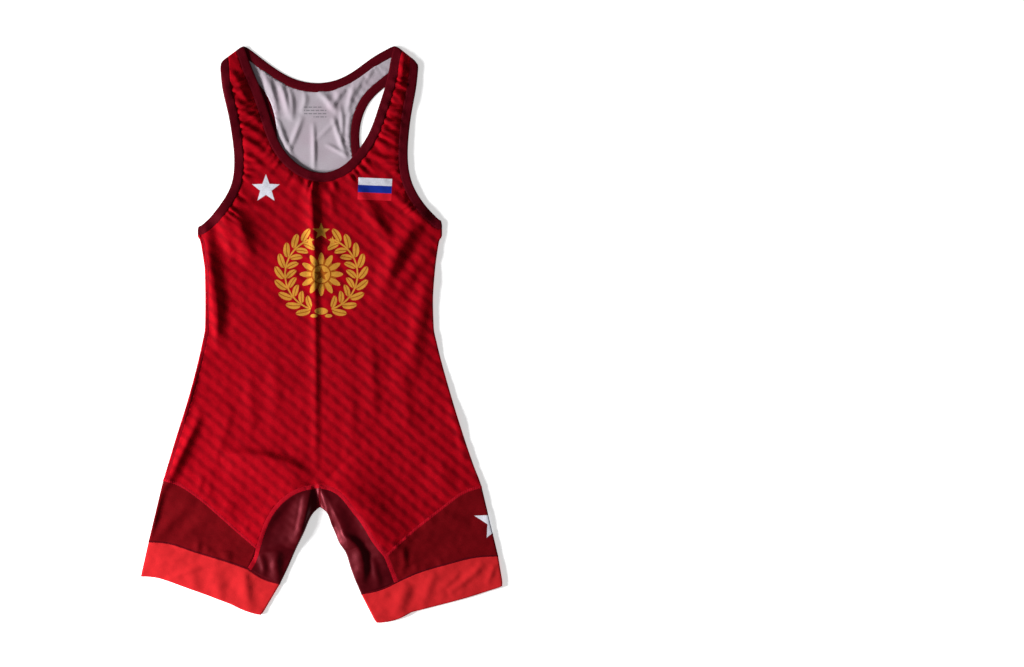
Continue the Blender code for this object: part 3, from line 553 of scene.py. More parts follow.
# Rows of x and y of the start, the bend and the end, width to the left and right of that way, height
FRONT_CREASES = (
    (-14, 216, -9, 60, -8, -200, 5.2, 5.2, 2.7), (-17, 218, -16, 180, -9, 100, 9, 8, 5.4),
    (-2, 205, 0, 20, 0, -190, 4, 6, -0.5), (12, 214, 11, 190, 16, 164, 5, 5, 2.2),
    (-8, 100, -12, 78, -9, 48, 4, 7, 1.4), (-160, 156, -155, 80, -142, -24, 11, 6, 7.6),
    (-150, 90, -138, 40, -146, -10, 4, 5, 1.8), (-168, -24, -180, -75, -196, -130, 5, 5, 3.4),
    (-166, -106, -193, -165, -220, -218, 6.5, 7, 6.4), (-218, -205, -233, -245, -241, -290, 6, 4, 4.4),
    (46, 206, 74, 160, 106, 104, 9, 10, 4.6), (96, 198, 118, 172, 156, 150, 7, 7, 2.6),
    (150, 172, 106, 138, 80, 44, 11, 14, 8.6), (156, 118, 124, 96, 98, 44, 10, 10, 4.2),
    (152, 96, 132, 30, 122, -64, 12, 11, 4.6), (-141, 156, -134, 135, -120, 103, 8, 7, 4.2),
    (-118, 170, -108, 142, -99, 104, 8, 9, 3.2), (-118, 202, -98, 187, -66, 182, 7, 7, -0.9),
    (-112, 190, -96, 176, -70, 170, 5, 6, 1.6), (-140, -168, -70, -160, -12, -198, 8, 28, 6.8),
    (160, -168, 170, -205, 182, -242, 13, 18, 2), (-98, -44, -101, -85, -94, -136, 7, 10, 1.5),
    (-72, -10, -60, -70, -68, -124, 8, 8, 1.3), (60, 20, 74, -50, 70, -124, 8, 9, 1.7),
    (104, -26, 116, -80, 122, -144, 10, 12, 2), (36, -60, 44, -110, 38, -164, 7, 8, 1.3),
    (-124, -96, -136, -140, -150, -186, 7, 7, 1.8), (176, -90, 187, -130, 199, -176, 6, 5, 1.9),
    (-24, -209, -64, -230, -94, -294, 8, 16, 3.8), (16, -192, 60, -236, 100, -330, 40, 18, 10),
    (-236, -290, -214, -262, -176, -228, 8, 7, 2.2), (-206, -292, -180, -266, -146, -246, 7, 6, 1.4),
    (112, -292, 112, -306, 117, -326, 4.5, 5, 2), (140, -262, 176, -250, 206, -262, 7, 7, 1.2),
    (-15, -206, -20, -250, -37, -298, 5, 16, 8.2), (-28, -218, -32, -250, -40, -282, 2.4, 2.4, -0.8),
    (-94, -305, -64, -301, -36, -291, 5, 9, 3.2), (-86, -304, -77, -318, -82, -334, 4, 5, 2.2),
    (-62, -298, -64, -318, -60, -346, 6, 9, 3.8), (-6, -204, 4, -232, 14, -266, 6, 4, 5),
    (2, -208, 20, -246, 40, -296, 19, 7, 8.6), (22, -276, 68, -290, 54, -346, 5.5, 15, 7),
    (70, -306, 74, -326, 80, -350, 4, 6, 2), (-214, -340, -180, -320, -136, -312, 4, 5, 2.2),
    (-228, -318, -200, -304, -168, -303, 4, 5, 1.6), (-150, -322, -140, -346, -142, -374, 9, 11, 2),
    (-108, -326, -104, -352, -100, -384, 7, 9, 2.6), (-184, -322, -172, -338, -176, -360, 7, 9, 1.3),
    (120, -342, 112, -362, 102, -392, 8, 11, 2.8), (156, -328, 146, -352, 136, -380, 8, 9, 2),
    (224, -316, 202, -340, 174, -356, 5, 6, 2.6), (190, -328, 182, -342, 160, -352, 4, 5, 1.6),
    (238, -316, 236, -330, 226, -346, 4, 5, 1.4), (-154, 180, -124, 158, -98, 96, 26, 12, 8),
    (-140, 376, -128, 318, -122, 250, 24, 5, 6.2), (-126, 364, -115, 352, -105, 334, 3.6, 6, 3),
    (-120, 346, -108, 336, -100, 316, 3.4, 6, 2.8), (-122, 325, -110, 316, -94, 309, 3.2, 5, 2.5),
    (-118, 310, -102, 304, -82, 295, 3.6, 6, 2.9), (-113, 291, -100, 286, -82, 274, 3.6, 5, 2.4),
    (-112, 271, -98, 266, -78, 252, 3.8, 6, 3), (-112, 250, -96, 244, -80, 230, 4, 6, 2.2),
    (66, 250, 82, 314, 104, 396, 6, 26, 1.7), (112, 390, 113, 366, 107, 342, 4, 5, 4),
    (93, 352, 104, 347, 118, 338, 4, 5, 3), (89, 334, 102, 330, 117, 320, 4, 5, 2.8),
    (85, 317, 100, 312, 116, 302, 4, 5, 3.2), (80, 300, 96, 295, 114, 285, 4, 6, 2.8),
    (76, 284, 92, 278, 112, 268, 4, 5, 3), (70, 268, 88, 262, 112, 250, 4, 6, 2.6),
    (62, 252, 84, 244, 110, 232, 4, 6, 2.2),
)

BACK_CREASES = (
    (-12, 294, -10, 258, -11, 224, 2.2, 3.1, 2), (-64, 302, -56, 272, -40, 244, 3.6, 4, 2.9),
    (-27, 302, -36, 276, -47, 252, 3.6, 3.6, 2.2), (15, 302, 22, 276, 35, 243, 2.7, 3.6, 2.2),
    (-10, 268, 6, 281, 21, 298, 2.7, 2.7, 1.3), (4, 263, 20, 257, 37, 244, 2.7, 2.7, 1.6),
    (-79, 368, -71, 340, -62, 300, 4.5, 5.4, 3.4), (-61, 357, -50, 330, -45, 298, 3.6, 4.5, 2.9),
    (-46, 343, -39, 320, -42, 294, 3.6, 3.6, 2.2), (-24, 338, -20, 322, -30, 306, 3.6, 3.6, 1.6),
    (-6, 338, 10, 323, 23, 305, 4.5, 4.5, 2.5), (35, 351, 26, 330, 9, 311, 3.6, 4.5, 2.5),
    (49, 357, 40, 335, 35, 304, 3.6, 3.6, 2.5), (61, 367, 52, 346, 43, 329, 2.7, 3.6, 2.2),
    (75, 379, 66, 360, 55, 342, 2.7, 2.7, 1.7), (41, 311, 34, 290, 37, 260, 2.7, 2.7, 1.6),
    (24, 319, 31, 296, 26, 262, 2.7, 2.7, 1.6), (-2, 60, -3, -60, -2, -180, 4, 5, 0.9),
    (90, 150, 70, 100, 84, 20, 9, 9, 1), (-100, 140, -84, 80, -96, 10, 9, 9, 1),
    (-60, -20, -84, -90, -78, -160, 9, 9, 1), (70, -40, 92, -100, 80, -170, 9, 9, 1),
    (130, -120, 150, -170, 158, -220, 8, 8, 1), (-140, -120, -158, -170, -160, -220, 8, 8, 1),
    (-150, -240, -178, -256, -206, -272, 7, 7, 0.8), (140, -256, 172, -272, 204, -282, 7, 7, 0.8),
    (-66, -262, -72, -288, -84, -314, 5, 5, 0.8), (56, -280, 66, -304, 80, -330, 5, 5, 0.8),
)


@dataclass(frozen=True)
class Puckers:
    """Short creases that run off a seam, a step apart and uneven in place and length, in millimetres."""

    start: Pair
    end: Pair
    run: Pair
    count: int
    height: float
    width: float = 4.4
    root: float = 0.35
    bow: float = 0.6
    wander: float = 0.25
    wander_beat: float = 2.7
    growth: float = 0.35
    growth_beat: float = 1.9

    def creases(self) -> list[Crease]:
        """Makes the creases, from the first one's foot on the seam to the last one's.

        Returns:
            The creases.
        """
        start, end, run = (np.array(spot, float) for spot in (self.start, self.end, self.run))
        made = []
        for i in range(self.count):
            share = (i + self.wander * math.sin(self.wander_beat * i)) / (self.count - 1)
            foot = start + (end - start) * share
            size = 1.0 + self.growth * math.sin(self.growth_beat * i + 1.0)
            root, tip = foot - self.root * run, foot + size * run
            spots = (*root, *((root + tip) / 2 + self.bow), *tip)
            made.append(Crease(spots, self.width, self.width, self.height * size))
        return made


PUCKERED_SEAMS = (
    Puckers((-170, -212), (-104, -270), (5, 13), 7, 1.0),
    Puckers((-172, -299), (-126, -314), (1, 11), 5, 1.1),
    Puckers((104, -296), (166, -248), (-6, 10), 6, 0.8),
    Puckers((112, -332), (160, -320), (-1, 10), 4, 0.8),
)


@dataclass(frozen=True)
class Ripples:
    """Slow, shallow swells in cloth that doesn't lie quite flat."""

    seed: int
    height: float
    shortest: float = 34.0
    longest: float = 95.0
    count: int = 14

    def lift(self, points: Array) -> Array:
        """Adds up waves of random headings and lengths.

        Args:
            points: The points on the pattern.

        Returns:
            The swell at each point.
        """
        random = np.random.default_rng(self.seed)
        total = np.zeros(len(points))
        for _ in range(self.count):
            heading, phase = random.uniform(0, 2 * math.pi, 2)
            length = random.uniform(self.shortest, self.longest) * MM
            along = points @ (math.cos(heading), math.sin(heading))
            total += np.sin(along * 2 * math.pi / length + phase)
        return self.height * MM * total / math.sqrt(self.count)


@dataclass(frozen=True)
class Gathers:
    """Small puckers where the cloth is drawn in by a binding. Their beats are for each step along it."""

    height: float = 3.2 * MM
    reach: float = 16.0 * MM
    seam_share: float = 0.12
    seam_run: float = 4.5 * MM
    dip: float = 1.0 * MM
    dip_reach: float = 3.2 * MM
    evenness: float = 0.62
    unevenness: float = 0.38
    strength_beats: Pair = (1.1, 0.47)
    reach_beat: float = 1.7
    reach_spread: Pair = (0.8, 0.3)
    wander: tuple[Pair, ...] = ((0.7, 0.61), (0.3, 1.37))
    sharpness: float = 1.5
    trough: float = 1.4
    farthest: float = 2.6
    sparse: int = 6

    def lift(self, points: Array, half: BindingHalf) -> Array:
        """Works out how far the puckers beside one binding lift the cloth.

        Args:
            points: The points on the pattern.
            half: The binding's half in the same layer.

        Returns:
            The lift at each point.
        """
        path, counted, calm = (values[:: self.sparse] for values in (half.dense, half.counted, half.calm))
        lift = np.zeros(len(points))
        near = np.flatnonzero(distances(points, path) < BINDING_WIDTH / 2 + self.farthest * self.reach)
        if not len(near):
            return lift
        gap, place, _ = nearest_on(points[near], path)
        index = np.arange(len(path))
        count, calm = np.interp(place, index, counted), np.interp(place, index, calm)
        slow, slower = self.strength_beats
        uneven = self.unevenness * np.sin(slow * count) * np.sin(slower * count + 1.0)
        strength = calm * (self.evenness + uneven)
        away = np.maximum(gap - BINDING_WIDTH / 2, 0)
        least, more = self.reach_spread
        fading = np.exp(-((away / self.reach / (least + more * np.sin(self.reach_beat * count))) ** 2))
        rising = self.seam_share + (1 - self.seam_share) * np.clip(away / self.seam_run, 0, 1)
        wave = np.cos(np.pi * (count + sum(size * np.sin(beat * count) for size, beat in self.wander)))
        crests = 1 - (1 - wave) ** self.sharpness / self.trough
        lift[near] = self.height * strength * fading * rising * crests
        lift[near] -= self.dip * calm * np.exp(-((away / self.dip_reach) ** 2))
        return lift


@dataclass(frozen=True)
class Ground:
    """The levels of both layers' cloth, from the creases, the swells and the gathers."""

    front_creases: tuple[Crease, ...] = (
        *(Crease(row[:6], *row[6:]) for row in FRONT_CREASES),
        *(crease for seam in PUCKERED_SEAMS for crease in seam.creases()),
    )
    back_creases: tuple[Crease, ...] = tuple(Crease(row[:6], *row[6:]) for row in BACK_CREASES)
    front_ripples: Ripples = Ripples(11, 0.5)
    front_crinkles: Ripples = Ripples(23, 0.17, 9.0, 26.0, 22)
    back_ripples: Ripples = Ripples(5, 0.22)
    front_gathers: Gathers = Gathers()
    back_gathers: Gathers = Gathers(height=0.8 * MM, reach=9.0 * MM, dip=0.0)
    front_lowest: float = -0.9 * MM
    back_lowest: float = -0.05 * MM
    back_highest: float = 0.75 * MM
    neck_highest: float = 3.0 * MM
    neck_bottom: float = 210.0 * MM
    leg_top: float = -180.0 * MM
    fold_calm: float = 14.0 * MM
    leg_calm: float = 8.0 * MM
    open_start: float = 9
    open_run: float = 9
    binding_start: float = 7
    binding_run: float = 8
    block: int = 3000
    sparse: int = 12

    @staticmethod
    def halves(layer: Layer) -> tuple[BindingHalf, ...]:
        """One layer's halves of the three bindings."""
        return tuple(binding[layer] for binding in (NECK, ARMHOLES[Side.RIGHT], ARMHOLES[Side.LEFT]))

    def front(self, points: Array, gathers: bool = True) -> Array:
        """Finds the level of the middle of the front layer's cloth.

        Args:
            points: The points on the pattern.
            gathers: Whether the puckers beside the bindings lift it.

        Returns:
            The level at each point.
        """
        blocks = []
        for block in np.array_split(points, max(1, len(points) // self.block)):
            lift = sum(crease.lift(block) for crease in self.front_creases)
            lift = lift + self.front_ripples.lift(block) + self.front_crinkles.lift(block)
            if gathers:
                lift = lift + sum(self.front_gathers.lift(block, half) for half in self.halves(Layer.FRONT))
            blocks.append(lift)
        return FRONT_LEVEL + np.maximum(np.concatenate(blocks), self.front_lowest)

    def openness(self, points: Array) -> Array:
        """Finds where the back lies open inside the neck.

        Args:
            points: The points on the pattern.

        Returns:
            1 in the open, and 0 under the front or beside a binding.
        """
        gap, _, side = nearest_on(points, NECK[Layer.FRONT].dense[:: self.sparse])
        share = np.clip((gap * side / MM - self.open_start) / self.open_run, 0, 1)
        for half in self.halves(Layer.BACK):
            gap, _, _ = nearest_on(points, half.dense[:: self.sparse])
            share = np.minimum(share, np.clip((gap / MM - self.binding_start) / self.binding_run, 0, 1))
        return share

    def calm(self, points: Array) -> Array:
        """Finds where the back lies level, to meet the front.

        Args:
            points: The points on the pattern.

        Returns:
            0 where the back turns up into the front, and 1 away from there.
        """
        depths = [fold.depth(points, REACH) for fold in (*SHOULDERS.values(), *SIDES.values())]
        calm = np.clip(-np.max(depths, axis=0) / self.fold_calm, 0, 1)
        legs = points[:, 1] < self.leg_top
        for side in Side:
            gap, _, _ = nearest_on(points[legs], np.array(INNER_EDGE[side], float) * MM)
            calm[legs] = np.minimum(calm[legs], np.clip((gap - REACH) / self.leg_calm, 0, 1))
        return calm

    def back(self, points: Array) -> Array:
        """Finds the height of the middle of the back layer's cloth, level where it turns up into the front.

        Args:
            points: The points on the pattern.

        Returns:
            The level at each point.
        """
        lift = sum(crease.lift(points) for crease in self.back_creases) + self.back_ripples.lift(points)
        for half in self.halves(Layer.BACK):
            lift = lift + self.back_gathers.lift(points, half)
        highest = np.full(len(points), self.back_highest)
        neck = points[:, 1] > self.neck_bottom
        highest[neck] += (self.neck_highest - self.back_highest) * self.openness(points[neck])
        return BACK_LEVEL + np.clip(lift, self.back_lowest, highest) * self.calm(points)


GROUND = Ground()


def placed(
    points: Array,
    lift: Array | float,
    folds: Sequence,
    layer: Layer,
    back_level: float = BACK_LEVEL,
    half: float = ROLL_EDGE,
    gathers: bool = True,
) -> Array:
    """Wraps pattern points of one layer over the folds.

    Args:
        points: The points on the pattern.
        lift: How far each lies out from the middle of the cloth.
        folds: The folds that the piece crosses.
        layer: The layer whose pattern it is.
        back_level: The level of the middle of its cloth in the back layer, without creases if it is given.
        half: Half of the cloth's thickness, which sets where a roll starts.
        gathers: Whether the puckers lift the piece.

    Returns:
        The points in space.
    """
    lift = np.broadcast_to(lift, len(points))
    if layer == Layer.FRONT:
        height = GROUND.front(points, gathers) + lift
    else:
        height = (GROUND.back(points) if back_level == BACK_LEVEL else back_level) - lift
    result = np.column_stack([points, np.broadcast_to(height, len(points))])
    roll = (FRONT_LEVEL - back_level) / 2
    for fold in folds:
        depth = fold.depth(points, roll + half)
        turned = depth > TINY
        if not turned.any():
            continue
        past, out = depth[turned], lift[turned]
        starts = points[turned] - past[:, None] * fold.outward
        angle = np.minimum(past / roll, math.pi)
        beyond = np.maximum(past - math.pi * roll, 0)
        along = (roll + out) * np.sin(angle) - beyond
        flat = starts + along[:, None] * fold.outward
        tall = (GROUND.front(starts, gathers) - back_level) / 2
        level = back_level + tall + layer * (tall + out) * np.cos(angle)
        if layer == Layer.BACK:
            level = np.where(beyond > 0, GROUND.front(flat, gathers) + out, level)
        result[turned] = np.column_stack([flat, level])
    result[:, 2] = np.maximum(result[:, 2], 0.0)
    return result


def unfolded(points: Array, side: Side) -> Array:
    """Pattern points for points on the other layer, inside the start of a side's roll."""
    across = SIDES[side].edge(points[:, 1]) - REACH + ROLL_LENGTH - SIDES[side].depth(points, REACH)
    return np.column_stack([side * across, points[:, 1]])


def roll_line(side: Side, y: float) -> Array:
    """The pattern points straight across a side's roll at one y, from its start to its end."""
    start = SIDES[side].edge(y) - REACH
    return np.array([(side * (start + share * ROLL_LENGTH), y) for share in ROLL_SHARES])


@dataclass(frozen=True)
class SoftCorner:
    """A corner of the outline that is drawn in a little, because cloth doesn't fold to a point."""

    place: Pair
    inward: Pair
    pull: float = 1.8
    reach: float = 10.0

    def shift(self, points: Array) -> Array:
        """Works out how far the corner moves a skin's points.

        Args:
            points: The points in space.

        Returns:
            The move of each point.
        """
        away = np.linalg.norm(points[:, :2] / MM - self.place, axis=1) / self.reach
        strength = self.pull * MM * np.clip(1 - away, 0, 1) ** 2
        return strength[:, None] * (*unit(np.array(self.inward, float)), 0.0)


SOFT_CORNERS = tuple(
    SoftCorner(*row)
    for row in (
        ((-142, 375), (0.94, -0.35)), ((-108, 400), (0.05, -1.0)), ((133, 375), (-0.94, -0.35)),
        ((101, 400), (-0.05, -1.0)), ((-172, 150), (0.9, -0.45), 1.2, 8.0),
        ((166, 156), (-0.9, -0.45), 1.2, 8.0), ((-255, -335), (0.8, 0.6), 1.4, 8.0),
        ((-84, -389), (-0.6, 0.8), 1.4, 8.0), ((75, -400), (0.5, 0.85), 1.4, 8.0),
        ((251, -348), (-0.8, 0.6), 2.0, 9.0),
    )
)


# ---- Meshes


@dataclass
class Cloth:
    """A closed skin: its points, faces, pattern coordinates, and which faces show the cloth's inside."""

    points: Array
    faces: list[list[int]]
    pattern: Array
    lining: Array

    def piece(self, name: str, slot: str, finishes: Sequence[bpy.types.Material]) -> bpy.types.Object:
        """Makes the object and rides it on the garment's body.

        Args:
            name: The piece's name.
            slot: The record's material slot, which is not used.
            finishes: The outer finish and, if it has one, the inner finish.

        Returns:
            The object.
        """
        mesh = bpy.data.meshes.new(name)
        points = self.points + sum(corner.shift(self.points) for corner in SOFT_CORNERS)
        mesh.from_pydata(points.tolist(), [], self.faces)
        for finish in finishes:
            mesh.materials.append(finish)
        corners = np.zeros(len(mesh.loops), np.int32)
        mesh.loops.foreach_get("vertex_index", corners)
        layer = mesh.uv_layers.new(name="pattern")
        layer.uv.foreach_set("vector", self.pattern[corners].astype(np.float32).ravel())
        if len(finishes) > 1:
            mesh.polygons.foreach_set("material_index", self.lining.astype(np.int32))
        mesh.validate()
        mesh.shade_smooth()
        made = bpy.data.objects.new(name, mesh)
        bpy.context.scene.collection.objects.link(made)
        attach(made, "root")
        LOG.info("%s: %d faces", name, len(mesh.polygons))
        return made

    def half_area(self) -> float:
        """Adds up half of the skin's area.

        Returns:
            The area in square metres.
        """
        total = 0.0
        for face in self.faces:
            arms = self.points[list(face[1:])] - self.points[face[0]]
            total += float(np.linalg.norm(np.cross(arms[:-1], arms[1:]), axis=1).sum()) / 2
        return total / 2


def closed_skin(outer: Array, inner: Array, faces: Array, pattern: Array) -> Cloth:
    """Closes two like sheets of points into a skin, with walls between them along their borders.

    Args:
        outer: The outer sheet's points.
        inner: The inner sheet's points, in the same order.
        faces: The outer sheet's faces, each turned the same way.
        pattern: The pattern coordinates of one sheet.

    Returns:
        The skin.
    """
    shift = len(outer)
    if facing_down(outer, faces):
        faces = faces[:, ::-1]
    edges = np.stack([faces, np.roll(faces, -1, axis=1)], axis=2).reshape(-1, 2)
    _, place, count = np.unique(np.sort(edges, axis=1), axis=0, return_inverse=True, return_counts=True)
    rims = edges[count[place.reshape(-1)] == 1]
    walls = np.column_stack([rims[:, ::-1], rims + shift])
    within = np.column_stack([faces[:, :1], faces[:, :0:-1]]) + shift
    every = [*faces.tolist(), *within.tolist(), *walls.tolist()]
    lining = np.zeros(len(every), bool)
    lining[len(faces) : 2 * len(faces)] = True
    return Cloth(np.vstack([outer, inner]), every, np.vstack([pattern, pattern]), lining)


def grid_faces(rows: int, columns: int, joined_rows: bool = False, joined_columns: bool = False) -> Array:
    """The faces between a grid's neighbouring points.

    Args:
        rows: The number of rows of points.
        columns: The number of points in each row.
        joined_rows: Whether the last row joins the first.
        joined_columns: Whether each row's last point joins its first.

    Returns:
        Four points for each face.
    """
    index = np.arange(rows * columns).reshape(rows, columns)
    if joined_rows:
        index = np.vstack([index, index[:1]])
    if joined_columns:
        index = np.hstack([index, index[:, :1]])
    return np.stack([index[:-1, :-1], index[:-1, 1:], index[1:, 1:], index[1:, :-1]], axis=2).reshape(-1, 4)


def skin_of_grid(outer: Array, inner: Array, pattern: Array, round_trip: bool = False) -> Cloth:
    """Joins two grids of points into a closed skin, whose last column joins its first on a round trip."""
    faces = grid_faces(*outer.shape[:2], joined_columns=round_trip)
    return closed_skin(outer.reshape(-1, 3), inner.reshape(-1, 3), faces, pattern.reshape(-1, 2))


def facing_down(points: Array, faces: Array) -> bool:
    """Whether the highest of the faces looks down."""
    corners = points[faces[points[faces, 2].mean(axis=1).argmax()]]
    return bool(np.cross(corners[1] - corners[0], corners[2] - corners[0])[2] < 0)


def skin_of_outline(outline: Array, lines: Sequence[Array], folds: Sequence, layer: Layer) -> Cloth:
    """Fills a pattern outline with small triangles and wraps it into a closed skin.

    Args:
        outline: The outline on the pattern.
        lines: Lines that the triangles keep to.
        folds: The folds that the piece crosses.
        layer: The layer whose pattern it is.

    Returns:
        The skin.
    """
    low, high = outline.min(axis=0), outline.max(axis=0)
    rows = np.arange(low[1], high[1], GRID_STEP * ROW_SHARE)
    columns = np.arange(low[0], high[0], GRID_STEP)
    grid = np.array([(x + (i % 2) * GRID_STEP / 2, y) for i, y in enumerate(rows) for x in columns])
    for fold in SIDES.values():
        grid = grid[fold.depth(grid, REACH) < -GRID_STEP / 4]
    grid = grid[inside(grid, outline)]
    grid = grid[distances(grid, np.vstack([outline, *lines])) > CLEARANCE * GRID_STEP]
    verts = [*outline]
    edges = [(i, (i + 1) % len(outline)) for i in range(len(outline))]
    for line in lines:
        edges.extend((i, i + 1) for i in range(len(verts), len(verts) + len(line) - 1))
        verts.extend(line)
    verts.extend(grid)
    made = delaunay_2d_cdt([tuple(map(float, v)) for v in verts], edges, [], 0, MERGED)
    flat = np.array([tuple(v) for v in made[0]])
    triangles = np.array(made[2])
    triangles = triangles[inside(flat[triangles].mean(axis=1), outline)]
    used, index = np.unique(triangles, return_inverse=True)
    flat = flat[used]
    outer, inner = (placed(flat, lift, folds, layer) for lift in (CLOTH / 2, -CLOTH / 2))
    return closed_skin(outer, inner, index.reshape(-1, 3), flat)


# ---- The two body panels


def shoulder_clip(edge: Array, side: Side) -> Array:
    """Cloth edge points up to the shoulder seam, in the middle of the roll."""
    limit = ROLL_LENGTH / 2 - SEAM_GAP / 2
    return clipped(edge, limit - SHOULDERS[side].depth(edge, REACH))


def side_rows(side: Side, top: float, bottom: float) -> list[Array]:
    """Rows down a side's roll, every one between the same two levels."""
    levels = np.linspace(top, bottom, math.ceil((top - bottom) / SIDE_STEP) + 1)
    return [np.array([roll_line(side, y)[i] for y in levels]) for i in range(len(ROLL_SHARES))]


def seam_down(side: Side, inwards: float, top: float, bottom: float) -> Array:
    """Points down a side seam that lies a distance in from the side fold."""
    levels = np.linspace(top, bottom, math.ceil((top - bottom) / SIDE_STEP) + 1)
    return np.column_stack([side * (SIDES[side].edge(levels) - inwards), levels])


def from_seam(points: Array, side: Side, inwards: float) -> Array:
    """How far each point lies outside a side seam."""
    return SIDES[side].depth(points, inwards)


def strap_lines(first: Array, second: Array, side: Side, rows: int = 4, cells: int = 14) -> list[Array]:
    """Draws rows across a strap along its shoulder roll.

    Args:
        first: The cloth's edge on one side of the strap.
        second: The edge on the other side.
        side: The shoulder.
        rows: How many rows there are.
        cells: How many cells each has.

    Returns:
        The rows.
    """
    lines = []
    for share in ROLL_SHARES[:rows]:
        ends = []
        for edge in (first, second):
            values = SHOULDERS[side].depth(edge, REACH) - share * ROLL_LENGTH
            ends.append(clipped(edge, values)[0 if values[-1] > 0 else -1])
        lines.append(spaced(np.array(ends), cells))
    return lines


def crotch_point(gap: float) -> Array:
    """The top of the crotch seam, a gap above the inner panels."""
    return np.array(CROTCH, float)[None] * MM + (0, gap)


@dataclass
class Body:
    """The front and the racerback back, each one cut, with their strips round the sides."""

    legs: dict[Side, "Leg"]
    gap: float = SEAM_GAP / 2
    overlap: float = 1.4 * MM
    centre_offsets: tuple[float, ...] = (-2.2 * MM, 0.0, 1.9 * MM, 4.1 * MM)
    centre_low: float = -203.0 * MM
    centre_high: float = 205.0 * MM
    centre_points: int = 180
    front_cut: Pair = (0.468, 0.706)
    front_area: float = 0.1745
    back_cut: Pair = (0.449, 0.706)
    back_area: float = 0.1660

    def neck(self, layer: Layer) -> Array:
        """The cloth's edge round one layer of the neck, tucked into its binding."""
        return NECK[layer].cloth_edge(self.overlap)

    def arm(self, side: Side, layer: Layer) -> Array:
        """The same round one layer of an armhole."""
        return ARMHOLES[side][layer].cloth_edge(self.overlap)

    def leg_line(self, side: Side) -> Array:
        """A leg's side seam, moved half a seam's gap up into the body."""
        return shifted(self.legs[side].side_seam, side * self.gap)

    def corner(self, leg: "Leg") -> Array:
        """Finds where a body panel comes to a point between a leg's side panel and inner panel.

        Args:
            leg: The leg.

        Returns:
            The point, as one row.
        """
        along = unit(leg.side_seam[1] - leg.side_seam[0])
        middle = unit(along + unit(leg.arch[-2] - leg.arch[-1]))
        sine = abs(along[0] * middle[1] - along[1] * middle[0])
        return (leg.side_seam[0] + middle * self.gap / sine)[None]

    def centre_lines(self) -> list[Array]:
        """Draws lines beside the centre crease, short of the neck and the crotch.

        Returns:
            The lines.
        """
        crease = GROUND.front_creases[0].line(self.centre_points)
        lines = [shifted(crease, offset) for offset in self.centre_offsets]
        return [line[(line[:, 1] > self.centre_low) & (line[:, 1] < self.centre_high)] for line in lines]

    def plain_side(self, side: Side, layer: Layer) -> list[Array]:
        """Runs down a side where the panel stops at the side seam, short of the fold.

        Args:
            side: The side.
            layer: The panel's layer.

        Returns:
            The outline's stretches from the shoulder down to the leg's corner.
        """
        inwards = TUCKS[side] + self.gap
        arm = shoulder_clip(self.arm(side, layer), side)
        arm = clipped(arm, -from_seam(arm, side, inwards))
        leg = self.leg_line(side)
        leg = clipped(leg, -from_seam(leg, side, inwards))
        return [arm, seam_down(side, inwards, arm[-1][1], leg[-1][1])[1:-1], leg[:0:-1]]

    def folded_side(self, side: Side, layer: Layer) -> list[Array]:
        """Runs down a side where the panel turns round the fold to a seam in the other layer.

        Args:
            side: The side.
            layer: The panel's layer.

        Returns:
            The outline's stretches from the shoulder down to the leg's corner.
        """
        inwards = TUCKS[side] - self.gap
        arm = shoulder_clip(self.arm(side, layer), side)
        arm = clipped(arm, -SIDES[side].depth(arm, REACH))
        beyond = self.arm(side, Layer(-layer))
        beyond = clipped(beyond, -SIDES[side].depth(beyond, REACH))
        beyond = clipped(beyond, from_seam(beyond, side, inwards))[::-1]
        leg = self.leg_line(side)
        leg_beyond = clipped(leg, from_seam(leg, side, inwards))
        seam = seam_down(side, inwards, beyond[-1][1], leg_beyond[0][1])
        round_arm, round_leg = roll_line(side, arm[-1][1])[1:-1], roll_line(side, leg[-1][1])[-2:0:-1]
        past = [unfolded(run, side) for run in (beyond, seam[1:-1], leg_beyond)]
        return [arm, round_arm, *past, round_leg, leg[:0:-1]]

    def panel(self, layer: Layer) -> Cloth:
        """Makes one panel, from the shoulders to the leg panels.

        Args:
            layer: The layer it lies in.

        Returns:
            The skin.
        """
        right, left, folded = Side.RIGHT, Side.LEFT, layer.folded
        runs = {
            side: np.vstack((self.folded_side if side == folded else self.plain_side)(side, layer))
            for side in Side
        }
        arch = {side: shifted(self.legs[side].arch, side * self.gap) for side in Side}
        neck = self.neck(layer)
        outline = np.vstack(
            [
                shoulder_clip(shoulder_clip(neck, right), left),
                runs[left],
                self.corner(self.legs[left]),
                arch[left][-2:0:-1],
                crotch_point(self.gap),
                arch[right][1:-1],
                self.corner(self.legs[right]),
                runs[right][::-1],
            ]
        )
        lines = [
            *side_rows(folded, self.folded_side(folded, layer)[0][-1][1], self.leg_line(folded)[-1][1]),
            *strap_lines(neck, self.arm(left, layer), left),
            *strap_lines(self.arm(right, layer), neck[::-1], right),
            *(self.centre_lines() if layer == Layer.FRONT else ()),
        ]
        return skin_of_outline(outline, lines, (*SHOULDERS.values(), SIDES[folded]), layer)

    def dress(self, finishes: Finishes) -> None:
        """Makes both panels and hides the solids that they replace.

        Args:
            finishes: The garment's finishes, by name.
        """
        cuts = (
            (Layer.FRONT, self.front_cut, self.front_area),
            (Layer.BACK, self.back_cut, self.back_area),
        )
        for layer, cut, area in cuts:
            skin, word = self.panel(layer), layer.name.lower()
            both = (finishes[f"{word}_print"], finishes["lining_knit"])
            piece = skin.piece(f"{word}_cloth", "printed_red", both)
            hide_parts(f"{word}_panel")
            LOG.info("%s: %.4f square metres of cloth", piece.name, skin.half_area())


# ---- The legs


def between(first: Array, last: Array, shares: Array) -> Array:
    """Rows of points at shares of the way from one polyline to another."""
    return first[None] + (last - first)[None] * shares[:, None, None]


